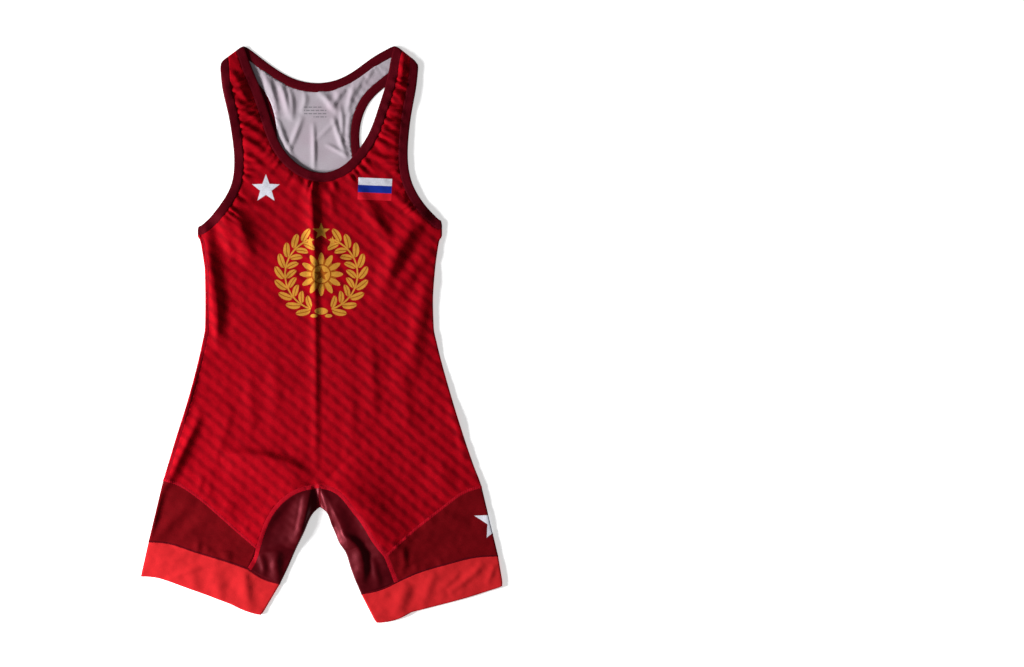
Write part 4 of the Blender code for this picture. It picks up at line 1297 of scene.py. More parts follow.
@dataclass
class Leg:
    """One leg: its outer thigh panel, inner panel and band, and the seams between them."""

    side: Side
    seam_cells: int = 62
    arch_cells: int = 60
    drop_cells: int = 34
    gusset_cells: int = 22
    band_cells: int = 22
    strip_fineness: int = 6
    side_strip: float = 4.4 * MM
    band_strip: float = 3.2 * MM
    side_cut: Pair = (0.322, 0.128)
    inner_cut: Pair = (0.175, 0.140)
    band_cut: Pair = (0.372, 0.056)

    def __post_init__(self) -> None:
        """Draws the leg's seams."""
        side = self.side
        self.fold = SIDES[side]
        self.arch = spaced(smooth_path(ARCH[side]), self.arch_cells)
        self.drop = spaced(smooth_path(DROP[side]), self.drop_cells)
        self.side_seam = self.to_roll(SIDE_SEAM[side])
        self.band_seam = self.to_roll(BAND_SEAM[side])
        self.hem_side = self.to_roll(HEM_SIDE[side])
        inner = spaced(smooth_path(INNER_EDGE[side]), self.arch_cells + self.drop_cells)
        along = tangents(inner)
        along[0] = (side, 0)
        self.inwards = side * left_of(along)
        self.inner_start = inner + REACH * self.inwards
        self.band_inner = self.inner_run(self.band_seam[0], BAND_INNER[side])
        self.hem_inner = self.inner_run(self.hem_side[0], HEM_INNER[side])

    def to_roll(self, rows: Rows) -> Array:
        """A seam's points up to where the side's roll starts."""
        path = smooth_path(rows)
        return spaced(clipped(path, -self.fold.depth(path, REACH)), self.seam_cells)

    def inner_run(self, start: Array, rows: Rows) -> Array:
        """Draws a seam from the drop to where the inner leg's roll starts.

        Args:
            start: Its point on the drop.
            rows: Its bend, and where it would meet the inner edge.

        Returns:
            The seam's points.
        """
        end = np.array(rows[-1], float) * MM + REACH * self.inwards[-1]
        middle = np.array(rows[0], float) * MM
        return spaced(smooth_path(np.array([start, middle, end]) / MM), self.gusset_cells)

    def rolled(self, start: Array, outward: Array, lift: float) -> Array:
        """Finds the points between the two ends of a roll.

        Args:
            start: Where the roll starts.
            outward: The direction across it.
            lift: How far the skin lies out from the middle of the cloth.

        Returns:
            The points in space.
        """
        tall = (GROUND.front(start[None])[0] - BACK_LEVEL) / 2
        angles = np.array(ROLL_SHARES[1:-1])[:, None] * math.pi
        flat = start + outward * (ROLL + lift) * np.sin(angles)
        return np.column_stack([flat, BACK_LEVEL + tall + (tall + lift) * np.cos(angles)])

    def tucked(self, section: Array, outward: Array, lift: float, under: float | None = None) -> Array:
        """Takes a section of cloth over the top, round the roll at its last point, and back beneath.

        Args:
            section: The section's points on top.
            outward: The direction across the roll.
            lift: How far the skin lies out from the middle of the cloth.
            under: The same beneath, if it differs.

        Returns:
            The points in space.
        """
        top = np.column_stack([section, GROUND.front(section) + lift])
        down = GROUND.back(section) - (lift if under is None else under)
        below = np.column_stack([section, np.maximum(down, 0)])[::-1]
        return np.vstack([top, self.rolled(section[-1], outward, lift), below])

    def grid(self, sections: Array, outwards: Sequence[Array]) -> Cloth:
        """Lays a skin over sections that are each tucked round a roll.

        Args:
            sections: The sections' points on the pattern.
            outwards: The direction across the roll at each.

        Returns:
            The skin.
        """
        outer, inner, pattern = [], [], []
        for section, outward in zip(sections, outwards):
            outer.append(self.tucked(section, outward, CLOTH / 2))
            inner.append(self.tucked(section, outward, -CLOTH / 2))
            along = lengths_along((outer[-1] + inner[-1]) / 2)
            fold = (along[len(section) - 1] + along[len(section) + len(ROLL_SHARES) - 2]) / 2
            pattern.append(np.column_stack([along - fold, outer[-1][:, 1]]))
        return skin_of_grid(np.array(outer), np.array(inner), np.array(pattern))

    def inset(self, grid: Array, *sides: str) -> Array:
        """Moves some of a grid's borders in by half a seam's gap.

        Args:
            grid: The grid's points on the pattern.
            sides: The borders' names.

        Returns:
            The moved grid.
        """
        moved = grid.copy()
        places = {
            "first_row": (0, 1),
            "last_row": (-1, -2),
            "first_column": ((slice(None), 0), (slice(None), 1)),
        }
        for place, neighbour in (places[side] for side in sides):
            normal = left_of(tangents(grid[place]))
            facing = np.sign(np.sum(normal * (grid[neighbour] - grid[place]), axis=1, keepdims=True))
            moved[place] += normal * facing * SEAM_GAP / 2
        return moved

    def side_panel(self) -> Cloth:
        """Makes the outer thigh panel, from its tip on top, round the side fold, to its tip beneath.

        Returns:
            The skin.
        """
        flat = between(self.side_seam, self.band_seam, np.linspace(0, 1, self.drop_cells + 1))
        flat[:, 0] = self.drop
        flat = self.inset(flat, "first_row", "last_row", "first_column")
        return self.grid(flat, [self.fold.outward] * len(flat))

    def inner_panel(self) -> Cloth:
        """Makes the inner leg panel, from its seam on top, round the inner leg, to its seam beneath.

        Returns:
            The skin.
        """
        border = np.vstack([self.arch, self.drop[1:]])
        shares = np.linspace(0, 1, self.gusset_cells + 1)[None, :, None]
        flat = border[:, None] * (1 - shares) + self.inner_start[:, None] * shares
        flat[-1] = self.band_inner
        flat = self.inset(flat, "first_row", "last_row", "first_column")
        return self.grid(flat, -self.inwards)

    def band_loop(self, row: Array, lift: float, under: float | None = None) -> Array:
        """One row round the whole leg, from the side, over the top, round the inner leg and back."""
        round_inner = self.tucked(row, -self.inwards[-1], lift, under)
        return np.vstack([round_inner, self.rolled(row[0], self.fold.outward, lift)[::-1]])

    def band_rows(self, shares: Array) -> Array:
        """Draws the band's rows on top.

        Args:
            shares: How far each lies from the band's seam to its hem.

        Returns:
            The rows' points on the pattern.
        """
        top = np.vstack([self.band_seam[::-1], self.band_inner[1:]])
        hem = np.vstack([self.hem_side[::-1], self.hem_inner[1:]])
        return between(top, hem, shares)

    def band(self) -> Cloth:
        """Makes the leg band, a flattened tube open at both ends.

        Returns:
            The skin.
        """
        flat = self.inset(self.band_rows(np.linspace(0, 1, self.band_cells + 1)), "first_row")
        skins = [np.array([self.band_loop(row, lift) for row in flat]) for lift in (CLOTH / 2, -CLOTH / 2)]
        middle = (skins[0] + skins[1]) / 2
        around = np.array([lengths_along(row) for row in middle])
        down = np.linspace(0, self.band_cut[1], len(middle))[:, None]
        pattern = np.stack([around, np.broadcast_to(down, around.shape)], axis=2)
        return skin_of_grid(*skins, pattern, round_trip=True)

    def side_strip_skin(self) -> Cloth:
        """Makes the flat seam between the body and the outer thigh panel, over the side fold and beneath.

        Returns:
            The skin.
        """
        away, cells = unit(self.band_seam - self.side_seam), self.strip_fineness * self.seam_cells
        across, outward = lines_across(self.side_strip), self.fold.outward
        rows = [spaced(self.side_seam + offset * away, cells) for offset in across]
        return strip_skin(
            rows, across, lambda row, lift: self.tucked(row, outward, lift, lift - UNDER_SINK)
        )

    def band_strip_skin(self) -> Cloth:
        """Makes the seam all round the leg, between the panels and the band.

        Returns:
            The skin.
        """
        across = lines_across(self.band_strip)
        rows = self.band_rows(across / self.band_cut[1])
        return strip_skin(
            rows, across, lambda row, lift: self.band_loop(row, lift, lift - UNDER_SINK), round_trip=True
        )

    def dress(self, finishes: Finishes) -> None:
        """Makes the leg's pieces and hides the solids that they replace.

        Args:
            finishes: The garment's finishes, by name.
        """
        word, lining, coral = self.side.name.lower(), finishes["lining_knit"], finishes["coral_knit"]
        thigh = finishes["thigh_maroon_starred" if self.side == Side.LEFT else "thigh_maroon"]
        satin = finishes["satin_maroon"]
        cuts = (
            (self.side_panel(), "side_leg", "side_leg_panel", "maroon", self.side_cut, (thigh, lining)),
            (
                self.inner_panel(), "inner_leg", "inner_leg_panel", "dark_maroon_sheen", self.inner_cut,
                (satin, lining),
            ),
            (self.band(), "leg_band", "leg_band", "coral", self.band_cut, (coral, coral)),
        )
        for skin, part, node, slot, cut, both in cuts:
            piece = skin.piece(f"{part}_cloth_{word}", slot, both)
            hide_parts(f"{node}_{word}")
            area = skin.half_area()
            LOG.info("%s: %.4f square metres of cloth", piece.name, area)
        self.side_strip_skin().piece(f"side_leg_seam_{word}", "printed_red", [finishes["seam_thread_red"]])
        self.band_strip_skin().piece(f"band_seam_{word}", "maroon", [finishes["seam_thread_dark"]])


# ---- Seams and stitches

STITCH_PITCH = 3.0 * MM
UNDER_SINK = 0.2 * MM
STRIP_CELLS = 6
STRIP_SINK = 0.1 * MM
STRIP_PROBE = 0.2 * MM
STRIP_HEIGHT = 0.22 * MM
THREAD_HEIGHT = 0.16 * MM


def lines_across(width: float) -> Array:
    """The distances of a flat seam's lines from its middle, side by side."""
    return np.linspace(-0.5, 0.5, STRIP_CELLS + 1) * width


def strip_relief(along: Array, share: float) -> Array:
    """How high a flat seam's crossing threads stand, at a share of the way from its middle to its edge."""
    threads = 0.5 + 0.5 * np.cos(2 * np.pi * (along / STITCH_PITCH + 0.5 * share))
    return (STRIP_HEIGHT + THREAD_HEIGHT * threads) * math.sqrt(max(0.0, 1 - share**4))


def strip_skin(
    rows: Sequence[Array], across: Array, lay: Callable[[Array, float], Array], round_trip: bool = False
) -> Cloth:
    """Makes a flat seam's strip over rows of pattern points.

    Args:
        rows: The strip's lines, side by side.
        across: Each line's distance from the middle.
        lay: What puts a line in space, lifted out from the middle of the cloth.
        round_trip: Whether the strip runs all round a tube.

    Returns:
        The skin.
    """
    outer, inner, pattern = [], [], []
    for row, offset in zip(rows, across):
        base, probe = lay(row, CLOTH / 2 - STRIP_SINK), lay(row, CLOTH / 2 + STRIP_PROBE)
        outward = probe - base
        size = np.maximum(np.linalg.norm(outward, axis=1, keepdims=True), TINY)
        along = lengths_along(base)
        raised = base + outward / size * strip_relief(along, offset / across[-1])[:, None]
        raised[:, 2] = np.maximum(raised[:, 2], 0.0)
        outer.append(raised)
        inner.append(base)
        pattern.append(np.column_stack([along, np.full(len(along), offset)]))
    return skin_of_grid(np.array(outer), np.array(inner), np.array(pattern), round_trip)


@dataclass
class Seams:
    """The flat seams that aren't part of one leg: the arches, the crotch, and the two sides of the body."""

    legs: dict[Side, Leg]
    arch_width: float = 6.6 * MM
    arch_shift: float = 1.6 * MM
    arch_cells: int = 90
    side_width: float = 3.0 * MM
    right_levels: Pair = (134 * MM, -203 * MM)
    left_levels: Pair = (150 * MM, -214 * MM)
    crotch_width: float = 3.2 * MM
    crotch_start: float = 2.0 * MM
    step: float = 0.8 * MM

    def strip(self, path: Array, width: float, layer: Layer) -> Cloth:
        """Makes a seam's strip along a path.

        Args:
            path: The seam's middle on the pattern.
            width: The strip's width.
            layer: The layer it lies in.

        Returns:
            The skin.
        """
        across = lines_across(width)
        cells = math.ceil(lengths_along(path)[-1] / self.step)
        rows = [spaced(shifted(path, offset), cells) for offset in across]
        sink = UNDER_SINK if layer == Layer.BACK else 0.0
        return strip_skin(rows, across, lambda row, lift: placed(row, lift - sink, (), layer))

    def arch_path(self) -> Array:
        """From the band of the right leg, up round the arch and down to the band of the left leg."""
        right, left = (np.vstack([leg.arch, leg.drop[1:]]) for leg in self.legs.values())
        return shifted(spaced(np.vstack([right[::-1], left[1:]]), self.arch_cells), -self.arch_shift)

    def crotch(self) -> Cloth:
        """Makes the short seam between the two inner leg panels, round the crotch's roll and back beneath.

        Returns:
            The skin.
        """
        across = lines_across(self.crotch_width)
        top, low = CROTCH[1] * MM - self.crotch_start, CROTCH_FOLD[1] * MM + REACH
        levels = np.linspace(top, low, math.ceil((top - low) / self.step))
        middle = CROTCH[0] * MM
        rows = [np.column_stack([np.full(len(levels), middle + offset), levels]) for offset in across]
        leg, down = self.legs[Side.RIGHT], np.array([0.0, -1.0])
        return strip_skin(rows, across, lambda row, lift: leg.tucked(row, down, lift, lift - UNDER_SINK))

    def dress(self, finishes: Finishes) -> None:
        """Makes the seams in both layers.

        Args:
            finishes: The garment's finishes, by name.
        """
        self.crotch().piece("crotch_seam", "dark_maroon_sheen", [finishes["seam_thread_dark"]])
        arch = self.arch_path()
        arch_kind, side_kind = (self.arch_width, "seam_thread_red"), (self.side_width, "seam_thread_body")
        right = seam_down(Side.RIGHT, TUCK_OVER, *self.right_levels)
        left = seam_down(Side.LEFT, TUCK_UNDER, *self.left_levels)
        for name, path, layer, (width, finish) in (
            ("arch_seam_front", arch, Layer.FRONT, arch_kind),
            ("arch_seam_back", arch, Layer.BACK, arch_kind),
            ("side_seam_right", right, Layer.FRONT, side_kind),
            ("side_seam_left", left, Layer.BACK, side_kind),
        ):
            self.strip(path, width, layer).piece(name, "printed_red", [finishes[finish]])


@dataclass
class Binding:
    """A folded binding sewn round an opening, with its two rows of stitches."""

    name: str
    halves: dict[Layer, BindingHalf]
    cut: Pair
    corners: int = 18
    squareness: Pair = (0.7, 0.75)
    stitch_rows: tuple[float, ...] = (-3.6 * MM, 3.6 * MM)
    stitch_length: float = 2.1 * MM
    stitch_radius: float = 0.28 * MM
    stitch_rise: float = 0.02 * MM
    stitch_sink: float = 0.1 * MM
    stitch_root: float = 0.5 * MM

    def loop(self, across: float, up: float) -> Array:
        """Draws one line round the opening.

        Args:
            across: Its distance from the middle of the binding, towards the cloth.
            up: Its distance out from the middle.

        Returns:
            The points in space.
        """
        parts = []
        for layer, half in self.halves.items():
            spots, thick = half.beside(across), BINDING_THICK / 2
            parts.append(placed(spots, up, half.folds, layer, BINDING_BACK_LEVEL, thick, gathers=False))
        return np.vstack([parts[0], parts[1][-2:0:-1]])

    def ring(self) -> Cloth:
        """Makes the binding, a soft flat band that runs all round.

        Returns:
            The skin.
        """
        loops, pattern = [], []
        for i in range(self.corners):
            angle = 2 * math.pi * (i + 0.5) / self.corners
            across, up = (
                math.copysign(abs(part) ** power, part) * size / 2
                for part, power, size in zip(
                    (math.cos(angle), math.sin(angle)), self.squareness, (BINDING_WIDTH, BINDING_THICK)
                )
            )
            loops.append(self.loop(across, up))
            pattern.append(np.column_stack([lengths_along(loops[-1]), np.full(len(loops[-1]), across)]))
        faces = grid_faces(self.corners, len(loops[0]), True, True)
        points = np.vstack(loops)
        if facing_down(points, faces):
            faces = faces[:, ::-1]
        return Cloth(points, faces.tolist(), np.vstack(pattern), np.zeros(len(faces), bool))

    def stitches(self) -> Cloth:
        """Makes the rows of stitches that stand on the binding's face, each a spindle of six points.

        Returns:
            The stitches as one skin.
        """
        spindles = []
        for across in self.stitch_rows:
            up = BINDING_THICK / 2 * (1 - abs(2 * across / BINDING_WIDTH) ** 3) ** 0.5
            line, base = self.loop(across, up + self.stitch_rise), self.loop(across, up - self.stitch_root)
            along, half = lengths_along(line), self.stitch_length / 2
            middles = (np.arange(int(along[-1] / STITCH_PITCH)) + 0.5) * STITCH_PITCH
            tail, centre, head = (sampled(line, along, middles + shift) for shift in (-half, 0.0, half))
            out = unit(centre - sampled(base, along, middles))
            aside = unit(np.cross(out, head - tail))
            ends = [end - out * self.stitch_sink for end in (tail, head)]
            belt = [centre + spoke * self.stitch_radius for spoke in (out, aside, -out, -aside)]
            spindles.append(np.stack([*ends, *belt], axis=1))
        spots = np.vstack(spindles).reshape(-1, 3)
        spots[:, 2] = np.maximum(spots[:, 2], 0)
        spindle = [face for a, b in ((2, 3), (3, 4), (4, 5), (5, 2)) for face in ((0, b, a), (1, a, b))]
        faces = (np.array(spindle)[None] + np.arange(0, len(spots), 6)[:, None, None]).reshape(-1, 3)
        return Cloth(spots, faces.tolist(), spots[:, :2], np.zeros(len(faces), bool))

    def dress(self, finishes: Finishes) -> None:
        """Args:
            finishes: The garment's finishes, by name.
        """
        skin = self.ring()
        piece = skin.piece(f"{self.name}_cloth", "binding_maroon", [finishes["binding_maroon"]])
        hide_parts(self.name)
        stitches = self.stitches()
        thread = stitches.piece(f"{self.name}_stitches", "binding_maroon", [finishes["binding_thread"]])
        area = min(skin.half_area(), math.prod(self.cut))
        LOG.info("%s: %.4f square metres of cloth", piece.name, skin.half_area())


# ---- Shader arithmetic

Colour = tuple[float, float, float]


def math_method(operation: str, swapped: bool = False) -> Callable[..., "Term"]:
    """Makes a method of Term that adds one Math node.

    Args:
        operation: The node's operation.
        swapped: Whether the term comes last, as in a reflected operator.

    Returns:
        The method.
    """

    def method(term: "Term", *others: "Term | float") -> "Term":
        """The result of the Math node on the term and the others."""
        return term.shader.math(operation, *((*others, term) if swapped else (term, *others)))

    return method


@dataclass(frozen=True)
class Term:
    """A number that varies over a surface. Its operators add Math nodes."""

    shader: "Shader"
    socket: bpy.types.NodeSocket

    __add__ = __radd__ = math_method("ADD")
    __mul__ = __rmul__ = math_method("MULTIPLY")
    __sub__ = math_method("SUBTRACT")
    __rsub__ = math_method("SUBTRACT", swapped=True)
    __truediv__ = math_method("DIVIDE")
    __rtruediv__ = math_method("DIVIDE", swapped=True)
    __lt__ = math_method("LESS_THAN")
    __gt__ = math_method("GREATER_THAN")
    __abs__ = math_method("ABSOLUTE")
    sin = math_method("SINE")
    cos = math_method("COSINE")
    arctan2 = math_method("ARCTAN2")
    root = math_method("SQRT")
    fraction = math_method("FRACT")
    least = math_method("MINIMUM")
    most = math_method("MAXIMUM")

    def ramp(self, low: float, high: float) -> "Term":
        """0 below low, 1 above high, and even between."""
        return ((self - low) / (high - low)).most(0.0).least(1.0)

    def inked(self, soft: float = 0.3) -> "Term":
        """1 above zero and 0 below, with a narrow soft edge."""
        return self.ramp(-soft, soft)


class Shader:
    """A material's node tree, built from expressions."""

    def __init__(self, name: str) -> None:
        """Makes the material.

        Args:
            name: Its name.
        """
        self.material = bpy.data.materials.new(name)
        self.material.use_nodes = True
        self.tree = self.material.node_tree
        self.surface = self.tree.nodes["Principled BSDF"]

    def node(self, kind: str, settings: dict | None = None, inputs: dict | None = None) -> bpy.types.Node:
        """Adds a node.

        Args:
            kind: The node's type.
            settings: Its own settings, which are set first.
            inputs: The value or link of each socket, by name or number.

        Returns:
            The node.
        """
        made = self.tree.nodes.new(kind)
        for name, value in (settings or {}).items():
            setattr(made, name, value)
        for place, value in (inputs or {}).items():
            self.feed(made.inputs[place], value)
        return made

    def feed(self, socket: bpy.types.NodeSocket, value: object) -> None:
        """Links or sets a socket.

        Args:
            socket: The socket.
            value: A term or socket to link it to, or its value.
        """
        if isinstance(value, Term):
            value = value.socket
        if isinstance(value, bpy.types.NodeSocket):
            self.tree.links.new(value, socket)
        else:
            socket.default_value = (*value, 1.0) if socket.type == "RGBA" else value

    def math(self, operation: str, *values: "Term | float") -> Term:
        """The result of a Math node."""
        made = self.node("ShaderNodeMath", {"operation": operation}, dict(enumerate(values)))
        return Term(self, made.outputs[0])

    def mix(self, share: Term | float, first: object, second: object) -> bpy.types.NodeSocket:
        """A colour that goes from first to second as share goes from 0 to 1."""
        made = self.node("ShaderNodeMix", {"data_type": "RGBA"}, {0: share, 6: first, 7: second})
        return made.outputs[2]

    def pattern(self) -> tuple[Term, Term]:
        """Reads the place on the cut cloth.

        Returns:
            The place across and along, in millimetres.
        """
        made = self.node("ShaderNodeUVMap", {"uv_map": "pattern"})
        parts = self.node("ShaderNodeSeparateXYZ", None, {0: made.outputs[0]})
        return Term(self, parts.outputs[0]) / MM, Term(self, parts.outputs[1]) / MM

    def about(self, centre: Pair) -> tuple[Term, Term]:
        """The place on the cut cloth, in millimetres from a centre."""
        across, along = self.pattern()
        return across - centre[0], along - centre[1]

    def noise(self, size: float, detail: float = 2.0) -> Term:
        """Makes smooth noise from 0 to 1 over the cut cloth.

        Args:
            size: The size of its blotches in millimetres.
            detail: How many finer layers it has.

        Returns:
            The noise.
        """
        across, along = self.pattern()
        place = self.node("ShaderNodeCombineXYZ", None, {0: across / size, 1: along / size})
        inputs = {"Vector": place.outputs[0], "Scale": 1.0, "Detail": detail}
        return Term(self, self.node("ShaderNodeTexNoise", None, inputs).outputs[0])

    def bump(self, height: Term, tall: float) -> None:
        """Raises the surface by height times tall, in metres."""
        made = self.node("ShaderNodeBump", None, {"Height": height, "Distance": tall, "Strength": 1.0})
        self.feed(self.surface.inputs["Normal"], made.outputs[0])

    def set(self, **values: object) -> None:
        """Sets or links the surface's sockets, named with underscores for spaces."""
        for name, value in values.items():
            self.feed(self.surface.inputs[name.replace("_", " ").title().replace("Ior", "IOR")], value)


# ---- Finishes


@dataclass(frozen=True)
class Knit:
    """A plain dyed knit with fine ribs. Sizes over the cloth are in millimetres."""

    name: str
    colour: Colour
    roughness: float = 0.7
    roughness_range: float = 0.1
    specular: float = 0.02
    tint: Colour = (1.0, 1.0, 1.0)
    rib: float = 1.1
    rib_height: float = 0.03 * MM
    rib_shares: tuple[float, float, float] = (0.6, 0.4, 0.8)
    loop_share: float = 0.8
    loop_bend: float = 1.5
    fuzz_size: float = 0.7
    sheen_size: float = 9.0
    sheen_range: Pair = (0.2, 0.8)
    mottle: float = 0.10
    mottle_size: float = 18.0
    mottle_range: Pair = (0.3, 0.7)
    # Painted shade: how far the fine grain's hollows are darkened towards black, the grain's size, and the
    # range over which it darkens
    grain_shade: float = 0.20
    grain_shade_size: float = 1.8
    grain_shade_range: Pair = (0.32, 0.70)

    def coloured(self, shader: Shader) -> object:
        """Mixes the mottled colour over the surface.

        Args:
            shader: The material's shader.

        Returns:
            The colour.
        """
        shade = shader.noise(self.mottle_size, detail=3.0).ramp(*self.mottle_range)
        dark = tuple(part * (1 - 2 * self.mottle) for part in self.colour)
        return shader.mix(shade, dark, self.colour)

    def grain_shaded(self, shader: Shader) -> object:
        """The colour with painted shade in the hollows of the knit's fine grain, mixed towards black."""
        grain_shade = shader.noise(self.grain_shade_size).ramp(*self.grain_shade_range) * self.grain_shade
        return shader.mix(grain_shade, self.coloured(shader), (0.0, 0.0, 0.0))

    def height(self, shader: Shader) -> Term:
        """Adds up the ribs, their loops and the fuzz.

        Args:
            shader: The material's shader.

        Returns:
            The height, as a share of the whole.
        """
        across, along = (part * (2 * math.pi / self.rib) for part in shader.pattern())
        ribs, loops, fuzz = self.rib_shares
        bent = along / self.loop_share + (across / 2).cos() * self.loop_bend
        return across.cos() * ribs + bent.sin() * loops + shader.noise(self.fuzz_size, detail=1.0) * fuzz

    def material(self) -> bpy.types.Material:
        """Makes the material.

        Returns:
            The material.
        """
        shader = Shader(self.name)
        shader.bump(self.height(shader), self.rib_height)
        uneven = shader.noise(self.sheen_size).ramp(*self.sheen_range) * self.roughness_range
        shader.set(
            base_color=self.grain_shaded(shader),
            roughness=uneven + (self.roughness - self.roughness_range / 2),
            specular_ior_level=self.specular,
            specular_tint=self.tint,
        )
        return shader.material


@dataclass(frozen=True)
class Stripes:
    """Beaded diagonal stripes, in millimetres and degrees."""

    period: float
    lean: float
    bead: float
    mirrored: bool = False
    wander: float = 1.2
    wander_size: float = 60.0
    bead_lean: float = 0.02
    shares: tuple[float, float, float] = (0.62, 0.20, 0.34)
    weakest: float = 0.42
    patches: float = 0.40
    patch_size: float = 13.0
    patch_range: Pair = (0.25, 0.70)
    # Painted sheen: the stripes are fainter towards the wearer's right, where the light falls, and up to
    # this much stronger towards the wearer's left, over this span across the cloth
    painted_sheen_fade: float = 0.20
    painted_sheen_fade_over: Pair = (-60.0, 90.0)

    def mask(self, shader: Shader) -> Term:
        """Draws the stripes.

        Args:
            shader: The material's shader.

        Returns:
            Up to 1 on a stripe, and 0 between stripes.
        """
        across, along = shader.pattern()
        angle = math.radians(self.lean)
        level = across * (-math.cos(angle) if self.mirrored else math.cos(angle))
        line = level + along * math.sin(angle) + shader.noise(self.wander_size, detail=1.0) * self.wander
        wave = (line * (2 * math.pi / self.period)).cos()
        beads = (across * (2 * math.pi / self.bead) + along * self.bead_lean).cos()
        strength = shader.noise(self.patch_size).ramp(*self.patch_range) * self.patches + self.weakest
        # Painted sheen: the stripes fade towards the lit side of the garment
        strength = strength + across.ramp(*self.painted_sheen_fade_over) * self.painted_sheen_fade
        waves, beading, base = self.shares
        return (wave * waves + beads * beading + base).ramp(0.0, 1.0) * strength


def star(x: Term, y: Term, radius: float, waist: float = 0.42) -> Term:
    """Draws a five-pointed star about the origin of x and y.

    Args:
        x: The place across.
        y: The place along.
        radius: How far its points reach.
        waist: How far in its dips lie, as a share of the radius.

    Returns:
        1 inside the star, and 0 outside.
    """
    far, fifth = (x * x + y * y).root(), 2 * math.pi / 5
    # Whole turns keep the fraction's input above zero, and the half puts a point straight up
    bent = abs((x.arctan2(y) / fifth + 10.5).fraction() - 0.5) * fifth
    dip_x, dip_y = radius * waist * math.cos(fifth / 2), radius * waist * math.sin(fifth / 2)
    over = (far * bent.cos() - radius) * dip_y - far * bent.sin() * (dip_x - radius)
    return (over / -math.hypot(dip_x - radius, dip_y)).inked()


def block(x: Term, y: Term, half_width: float, half_height: float) -> Term:
    """1 inside a rectangle about the origin of x and y."""
    return (half_width - abs(x)).inked() * (half_height - abs(y)).inked()


def oval(x: Term, y: Term, half_width: float, half_height: float, soft: float = 0.06) -> Term:
    """1 inside an oval about the origin of x and y."""
    wide, tall = x / half_width, y / half_height
    return (1.0 - (wide * wide + tall * tall).root()).inked(soft)


@dataclass(frozen=True)
class Emblem:
    """A general emblem in millimetres: a tied laurel wreath round a rosette, with three stars above."""

    centre: Pair = (-1.0, 83.0)
    radius: float = 50.0
    leaves: int = 9
    leaf_step: float = 0.29
    leaf_out: float = 8.2
    leaf_slant: float = math.radians(42)
    leaf: Pair = (9.4, 4.2)
    vein: Pair = (0.35, 0.8)
    stem: Pair = (0.9, 1.3)
    petals: int = 12
    petal_depth: float = 5.0
    flower: float = 25.0
    ray_share: Pair = (0.2, 0.7)
    ray_start: Pair = (12.5, 13.5)
    collar: float = 13.0
    collar_edge: Pair = (0.7, 1.3)
    heart: float = 10.5
    top_star: tuple[float, float, float] = (0.0, 59.0, 12.0)
    side_star: tuple[float, float, float] = (15.5, 46.0, 6.5)
    knot: tuple[float, ...] = (0.0, -51.0, 9.0, 4.6)
    ribbon: tuple[float, ...] = (10.0, -57.5, 5.0, 2.4)
    light: Colour = (0.60, 0.27, 0.035)
    dark: Colour = (0.34, 0.085, 0.008)

    def over(self, shader: Shader, ground: object) -> bpy.types.NodeSocket:
        """Prints the emblem over a colour.

        Args:
            shader: The material's shader.
            ground: The colour beneath.

        Returns:
            The colour with the emblem.
        """
        x, y = shader.about(self.centre)
        far, turn, aside = (x * x + y * y).root(), abs(x.arctan2(y * -1.0)), abs(x)
        off = far - self.radius
        run = ((turn / self.leaf_step).fraction() - 0.5) * (self.leaf_step * self.radius)
        out = abs(off) - self.leaf_out
        cosine, sine = math.cos(self.leaf_slant), math.sin(self.leaf_slant)
        long, wide = run * cosine + out * sine, out * cosine - run * sine
        kept = (turn > self.leaf_step) * (turn < self.leaf_step * (self.leaves + 1))
        leaves = oval(long, wide, *self.leaf) * kept
        veins = (1.0 - abs(wide).ramp(*self.vein)) * leaves
        stem = (1.0 - abs(off).ramp(*self.stem)) * kept
        petal = (turn * self.petals).cos()
        flower = (petal * self.petal_depth + self.flower - far).inked()
        rays = (petal * -1.0).ramp(*self.ray_share) * flower * far.ramp(*self.ray_start)
        collar = (1.0 - abs(far - self.collar).ramp(*self.collar_edge)) * flower
        stars = (star(aside - right, y - up, size) for right, up, size in (self.top_star, self.side_star))
        ties = (oval(aside - right, y - up, *half) for right, up, *half in (self.knot, self.ribbon))
        gold = leaves
        for shape in (stem, flower, *stars, *ties):
            gold = gold.most(shape)
        shade = veins.most(rays).most(collar).most(star(x, y, self.heart)).least(1.0)
        return shader.mix(gold, ground, shader.mix(shade, self.light, self.dark))


WHITE_INK: Colour = (0.68, 0.68, 0.76)
RED_INK: Colour = (0.388, 0.0013, 0.0078)
STRIPE_INK: Colour = (0.175, 0.0006, 0.0045)
CORAL_INK: Colour = (0.575, 0.018, 0.022)


@dataclass(frozen=True)
class FrontPrint(Knit):
    """The front's print: striped red, a small flag, a star and the emblem."""

    stripes: Stripes = Stripes(14.3, 50.0, 14.6)
    emblem: Emblem = Emblem()
    flag_centre: Pair = (73.0, 200.5)
    flag_size: Pair = (46.5, 30.5)
    flag_turn: float = 2.5
    star_centre: Pair = (-77.5, 201.0)
    star_radius: float = 20.0
    flag_blue: Colour = (0.010, 0.030, 0.30)
    flag_red: Colour = (0.62, 0.010, 0.022)

    def coloured(self, shader: Shader) -> object:
        """Prints the stripes, the emblem, the star and the flag.

        Args:
            shader: The material's shader.

        Returns:
            The colour.
        """
        cloth = shader.mix(self.stripes.mask(shader), RED_INK, STRIPE_INK)
        cloth = self.emblem.over(shader, cloth)
        cloth = shader.mix(star(*shader.about(self.star_centre), self.star_radius), cloth, WHITE_INK)
        x, y = shader.about(self.flag_centre)
        cosine, sine = math.cos(math.radians(self.flag_turn)), math.sin(math.radians(self.flag_turn))
        level, rise = x * cosine - y * sine, y * cosine + x * sine
        width, height = self.flag_size
        flag = shader.mix((rise - height / 6).inked(), self.flag_blue, WHITE_INK)
        flag = shader.mix((rise * -1.0 - height / 6).inked(), flag, self.flag_red)
        return shader.mix(block(level, rise, width / 2, height / 2), cloth, flag)


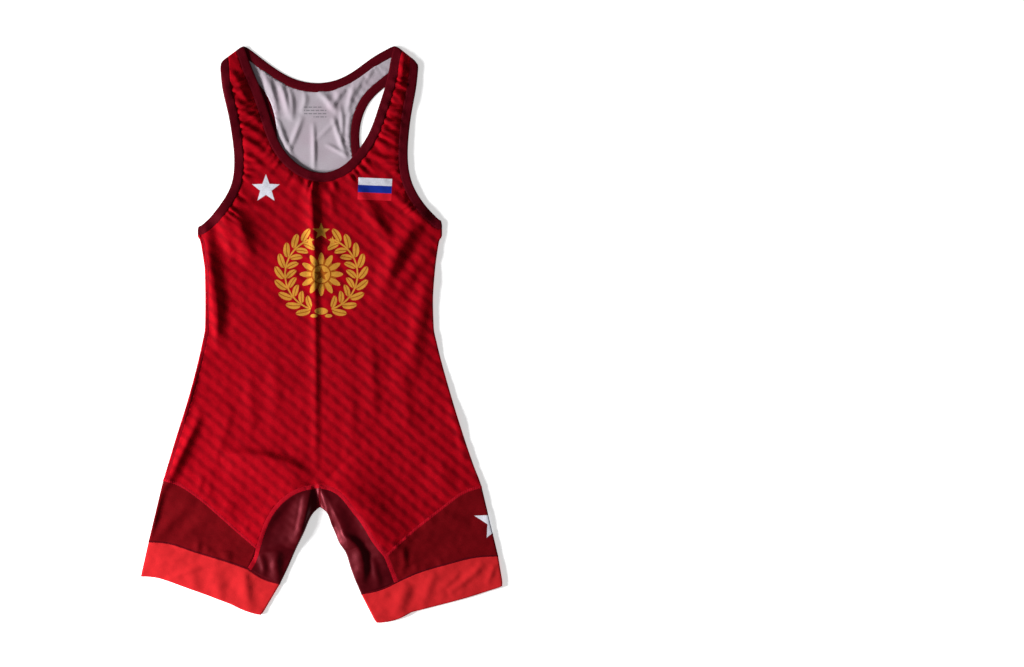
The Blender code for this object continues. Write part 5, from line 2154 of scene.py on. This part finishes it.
@dataclass(frozen=True)
class BackPrint(Knit):
    """The back's print: striped red, a dark strip down the middle and a coral band between white lines."""

    stripes: Stripes = Stripes(15.0, 50.0, 15.0, mirrored=True)
    strip_middle: float = -11.0
    strip_half: float = 32.5
    strip_colour: Colour = (0.080, 0.003, 0.008)
    strip_stripe: Colour = (0.055, 0.002, 0.006)
    upper: tuple[float, float, float] = (62.5, 0.00115, -15.0)
    lower: tuple[float, float, float] = (-0.5, 0.00090, -12.0)
    upper_line: float = 5.5
    lower_line: float = 5.0
    right_end: float = -160.8
    soft: float = 0.4

    @staticmethod
    def below(shader: Shader, height: float, bow: float, middle: float) -> Term:
        """How far a place lies below a bowed line."""
        x, y = shader.about((middle, 0.0))
        return x * x * bow + height - y

    def line(self, depth: Term, width: float) -> Term:
        """1 in a line of this width that starts where the depth is zero."""
        return depth.inked(self.soft) * (1.0 - (depth - width).inked(self.soft))

    def coloured(self, shader: Shader) -> object:
        """Prints the stripes, the dark strip, the coral band and its white lines.

        Args:
            shader: The material's shader.

        Returns:
            The colour.
        """
        across, _ = shader.pattern()
        mask = self.stripes.mask(shader)
        cloth = shader.mix(mask, RED_INK, STRIPE_INK)
        middle = (self.strip_half - abs(across - self.strip_middle)).inked(self.soft)
        cloth = shader.mix(middle, cloth, shader.mix(mask, self.strip_colour, self.strip_stripe))
        top, low = self.below(shader, *self.upper), self.below(shader, *self.lower)
        band = (top - self.upper_line).inked(self.soft) * (1.0 - low.inked(self.soft))
        lines = self.line(top, self.upper_line).most(self.line(low, self.lower_line))
        within = across > self.right_end
        return shader.mix(lines * within, shader.mix(band * within, cloth, CORAL_INK), WHITE_INK)


@dataclass(frozen=True)
class Lining(Knit):
    """The pale inside of the cloth, with plain bars where care marks are printed."""

    shade: Colour = (0.97, 0.90, 0.93)
    shade_size: float = 40.0
    shade_range: Pair = (0.35, 0.7)
    bars: tuple[tuple[float, float, float], ...] = (
        (-12.0, 314.0, 13.0), (-9.5, 309.5, 15.5), (-9.5, 305.0, 15.5), (-3.0, 300.5, 9.0),
    )
    bar_half: float = 0.75
    bar_colour: Colour = (0.16, 0.15, 0.17)
    bar_strength: float = 0.75
    dash: float = 6.5
    dash_edge: Pair = (0.38, 0.42)

    def coloured(self, shader: Shader) -> object:
        """Mixes the pale colour and prints the bars.

        Args:
            shader: The material's shader.

        Returns:
            The colour.
        """
        across, _ = shader.pattern()
        shaded = tuple(part * share for part, share in zip(self.colour, self.shade))
        shade = shader.noise(self.shade_size).ramp(*self.shade_range)
        cloth = shader.mix(shade, self.colour, shaded)
        marks = None
        for x, y, half in self.bars:
            gaps = abs((across / self.dash + y).fraction() - 0.5).ramp(*self.dash_edge)
            bar = block(*shader.about((x, y)), half, self.bar_half) * (1.0 - gaps)
            marks = bar if marks is None else marks.most(bar)
        return shader.mix(marks * self.bar_strength, cloth, self.bar_colour)


@dataclass(frozen=True)
class Starred(Knit):
    """A plain knit with a white star that goes round its side fold."""

    spot: Pair = (6.0, -259.0)
    radius: float = 27.0

    def coloured(self, shader: Shader) -> object:
        """The knit's colour with the star printed over it."""
        mark = star(*shader.about(self.spot), self.radius)
        return shader.mix(mark, super().coloured(shader), WHITE_INK)


@dataclass(frozen=True)
class Plain:
    """A plain even finish for the floor."""

    name: str
    colour: Colour
    glow: float
    roughness: float = 0.9
    specular: float = 0.1

    def material(self) -> bpy.types.Material:
        """Makes the material.

        Returns:
            The material.
        """
        shader = Shader(self.name)
        shader.set(base_color=self.colour, roughness=self.roughness, specular_ior_level=self.specular)
        shader.set(emission_color=self.colour, emission_strength=self.glow)
        return shader.material


MAROON: Colour = (0.165, 0.0022, 0.0050)
KNITS = (
    FrontPrint("front_print", RED_INK),
    BackPrint("back_print", RED_INK),
    Lining("lining_knit", (0.48, 0.428, 0.475), grain_shade=0.09),
    Knit("thigh_maroon", MAROON),
    Starred("thigh_maroon_starred", MAROON),
    Knit(
        "satin_maroon", (0.060, 0.0007, 0.0025), 0.44, specular=0.42, tint=(1.0, 0.13, 0.20),
        rib_height=0.012 * MM, grain_shade=0.10,
    ),
    Knit("coral_knit", CORAL_INK, mottle=0.04, grain_shade=0.10),
    Knit("binding_maroon", (0.100, 0.002, 0.007), rib=0.9),
    Knit("binding_thread", (0.125, 0.003, 0.009), rib=0.5, rib_height=0.02 * MM),
    Knit("seam_thread_red", (0.42, 0.004, 0.014), rib=0.6),
    Knit("seam_thread_dark", (0.11, 0.002, 0.006), rib=0.6),
    Knit("seam_thread_body", (0.26, 0.002, 0.009), rib=0.6),
)


# ---- Floor, light and camera


@dataclass(frozen=True)
class Studio:
    """A pale floor, soft low light from the wearer's right and below, fill, and a camera straight above."""

    floor_level: float = -0.2 * MM
    floor_half: float = 8.0
    floor_colour: Colour = (0.93, 0.93, 0.93)
    floor_glow: float = 0.55
    key_energy: float = 2.9
    key_spread: float = math.radians(10)
    key_height: float = math.radians(23)
    key_heading: float = math.radians(184)
    lamp_place: tuple[float, float, float] = (-1.35, -0.52, 0.62)
    lamp_target: tuple[float, float, float] = (-0.10, -0.16, 0.0)
    lamp_size: float = 0.5
    lamp_power: float = 37.0
    fill: float = 0.15
    sensor: float = 36.0
    clip_end: float = 50.0
    camera_height: float = 5.0
    view_width: float = 1.4149
    view_centre: Pair = (262.5 * MM, 1.1 * MM)

    def build(self) -> None:
        """Makes the floor, the lights and the camera."""
        scene = bpy.context.scene
        for made in (self.floor(), *self.lights(), self.camera()):
            scene.collection.objects.link(made)
        scene.view_settings.view_transform = "Standard"
        world = bpy.data.worlds.new("fill")
        world.use_nodes = True
        sky = world.node_tree.nodes["Background"]
        sky.inputs["Color"].default_value = (1.0, 1.0, 1.0, 1.0)
        sky.inputs["Strength"].default_value = self.fill
        scene.world = world
        LOG.info("studio: floor, lights and camera")

    def floor(self) -> bpy.types.Object:
        """Returns:
            The floor.
        """
        half = self.floor_half
        mesh = bpy.data.meshes.new("floor")
        corners = [(x * half, y * half, self.floor_level) for x, y in ((-1, -1), (1, -1), (1, 1), (-1, 1))]
        mesh.from_pydata(corners, [], [(0, 1, 2, 3)])
        mesh.materials.append(Plain("floor_paint", self.floor_colour, self.floor_glow).material())
        made = bpy.data.objects.new("floor", mesh)
        return made

    def lights(self) -> list[bpy.types.Object]:
        """Makes the key, which is even all over, and a near lamp, whose light falls off up the garment.

        Returns:
            Both lights.
        """
        sun = bpy.data.lights.new("key", "SUN")
        sun.energy = self.key_energy
        sun.angle = self.key_spread
        key = bpy.data.objects.new("key", sun)
        key.rotation_euler = (0.0, math.pi / 2 - self.key_height, self.key_heading)
        panel = bpy.data.lights.new("near_lamp", "AREA")
        panel.shape = "DISK"
        panel.size = self.lamp_size
        panel.energy = self.lamp_power
        lamp = bpy.data.objects.new("near_lamp", panel)
        lamp.location = self.lamp_place
        aim = Vector(self.lamp_target) - Vector(self.lamp_place)
        lamp.rotation_euler = aim.to_track_quat("-Z", "Y").to_euler()
        return [key, lamp]

    def camera(self) -> bpy.types.Object:
        """Makes the camera and takes it into use.

        Returns:
            The camera.
        """
        lens = bpy.data.cameras.new("camera")
        lens.sensor_width = self.sensor
        lens.lens = self.sensor * (self.camera_height - FRONT_LEVEL) / self.view_width
        lens.clip_end = self.clip_end
        made = bpy.data.objects.new("camera", lens)
        made.location = (*self.view_centre, self.camera_height)
        bpy.context.scene.camera = made
        return made


def main() -> None:
    """Builds the garment and the studio."""
    logging.basicConfig(level=logging.INFO, format="%(name)s: %(message)s")
    finishes = {knit.name: knit.material() for knit in KNITS}
    legs = {side: Leg(side) for side in Side}
    Body(legs).dress(finishes)
    for leg in legs.values():
        leg.dress(finishes)
    Seams(legs).dress(finishes)
    Binding("neck_binding", NECK, (0.716, 0.0135)).dress(finishes)
    Binding("armhole_binding_right", ARMHOLES[Side.RIGHT], (0.603, 0.0135)).dress(finishes)
    Binding("armhole_binding_left", ARMHOLES[Side.LEFT], (0.589, 0.0135)).dress(finishes)
    Studio().build()


if __name__ == "__main__":
    main()
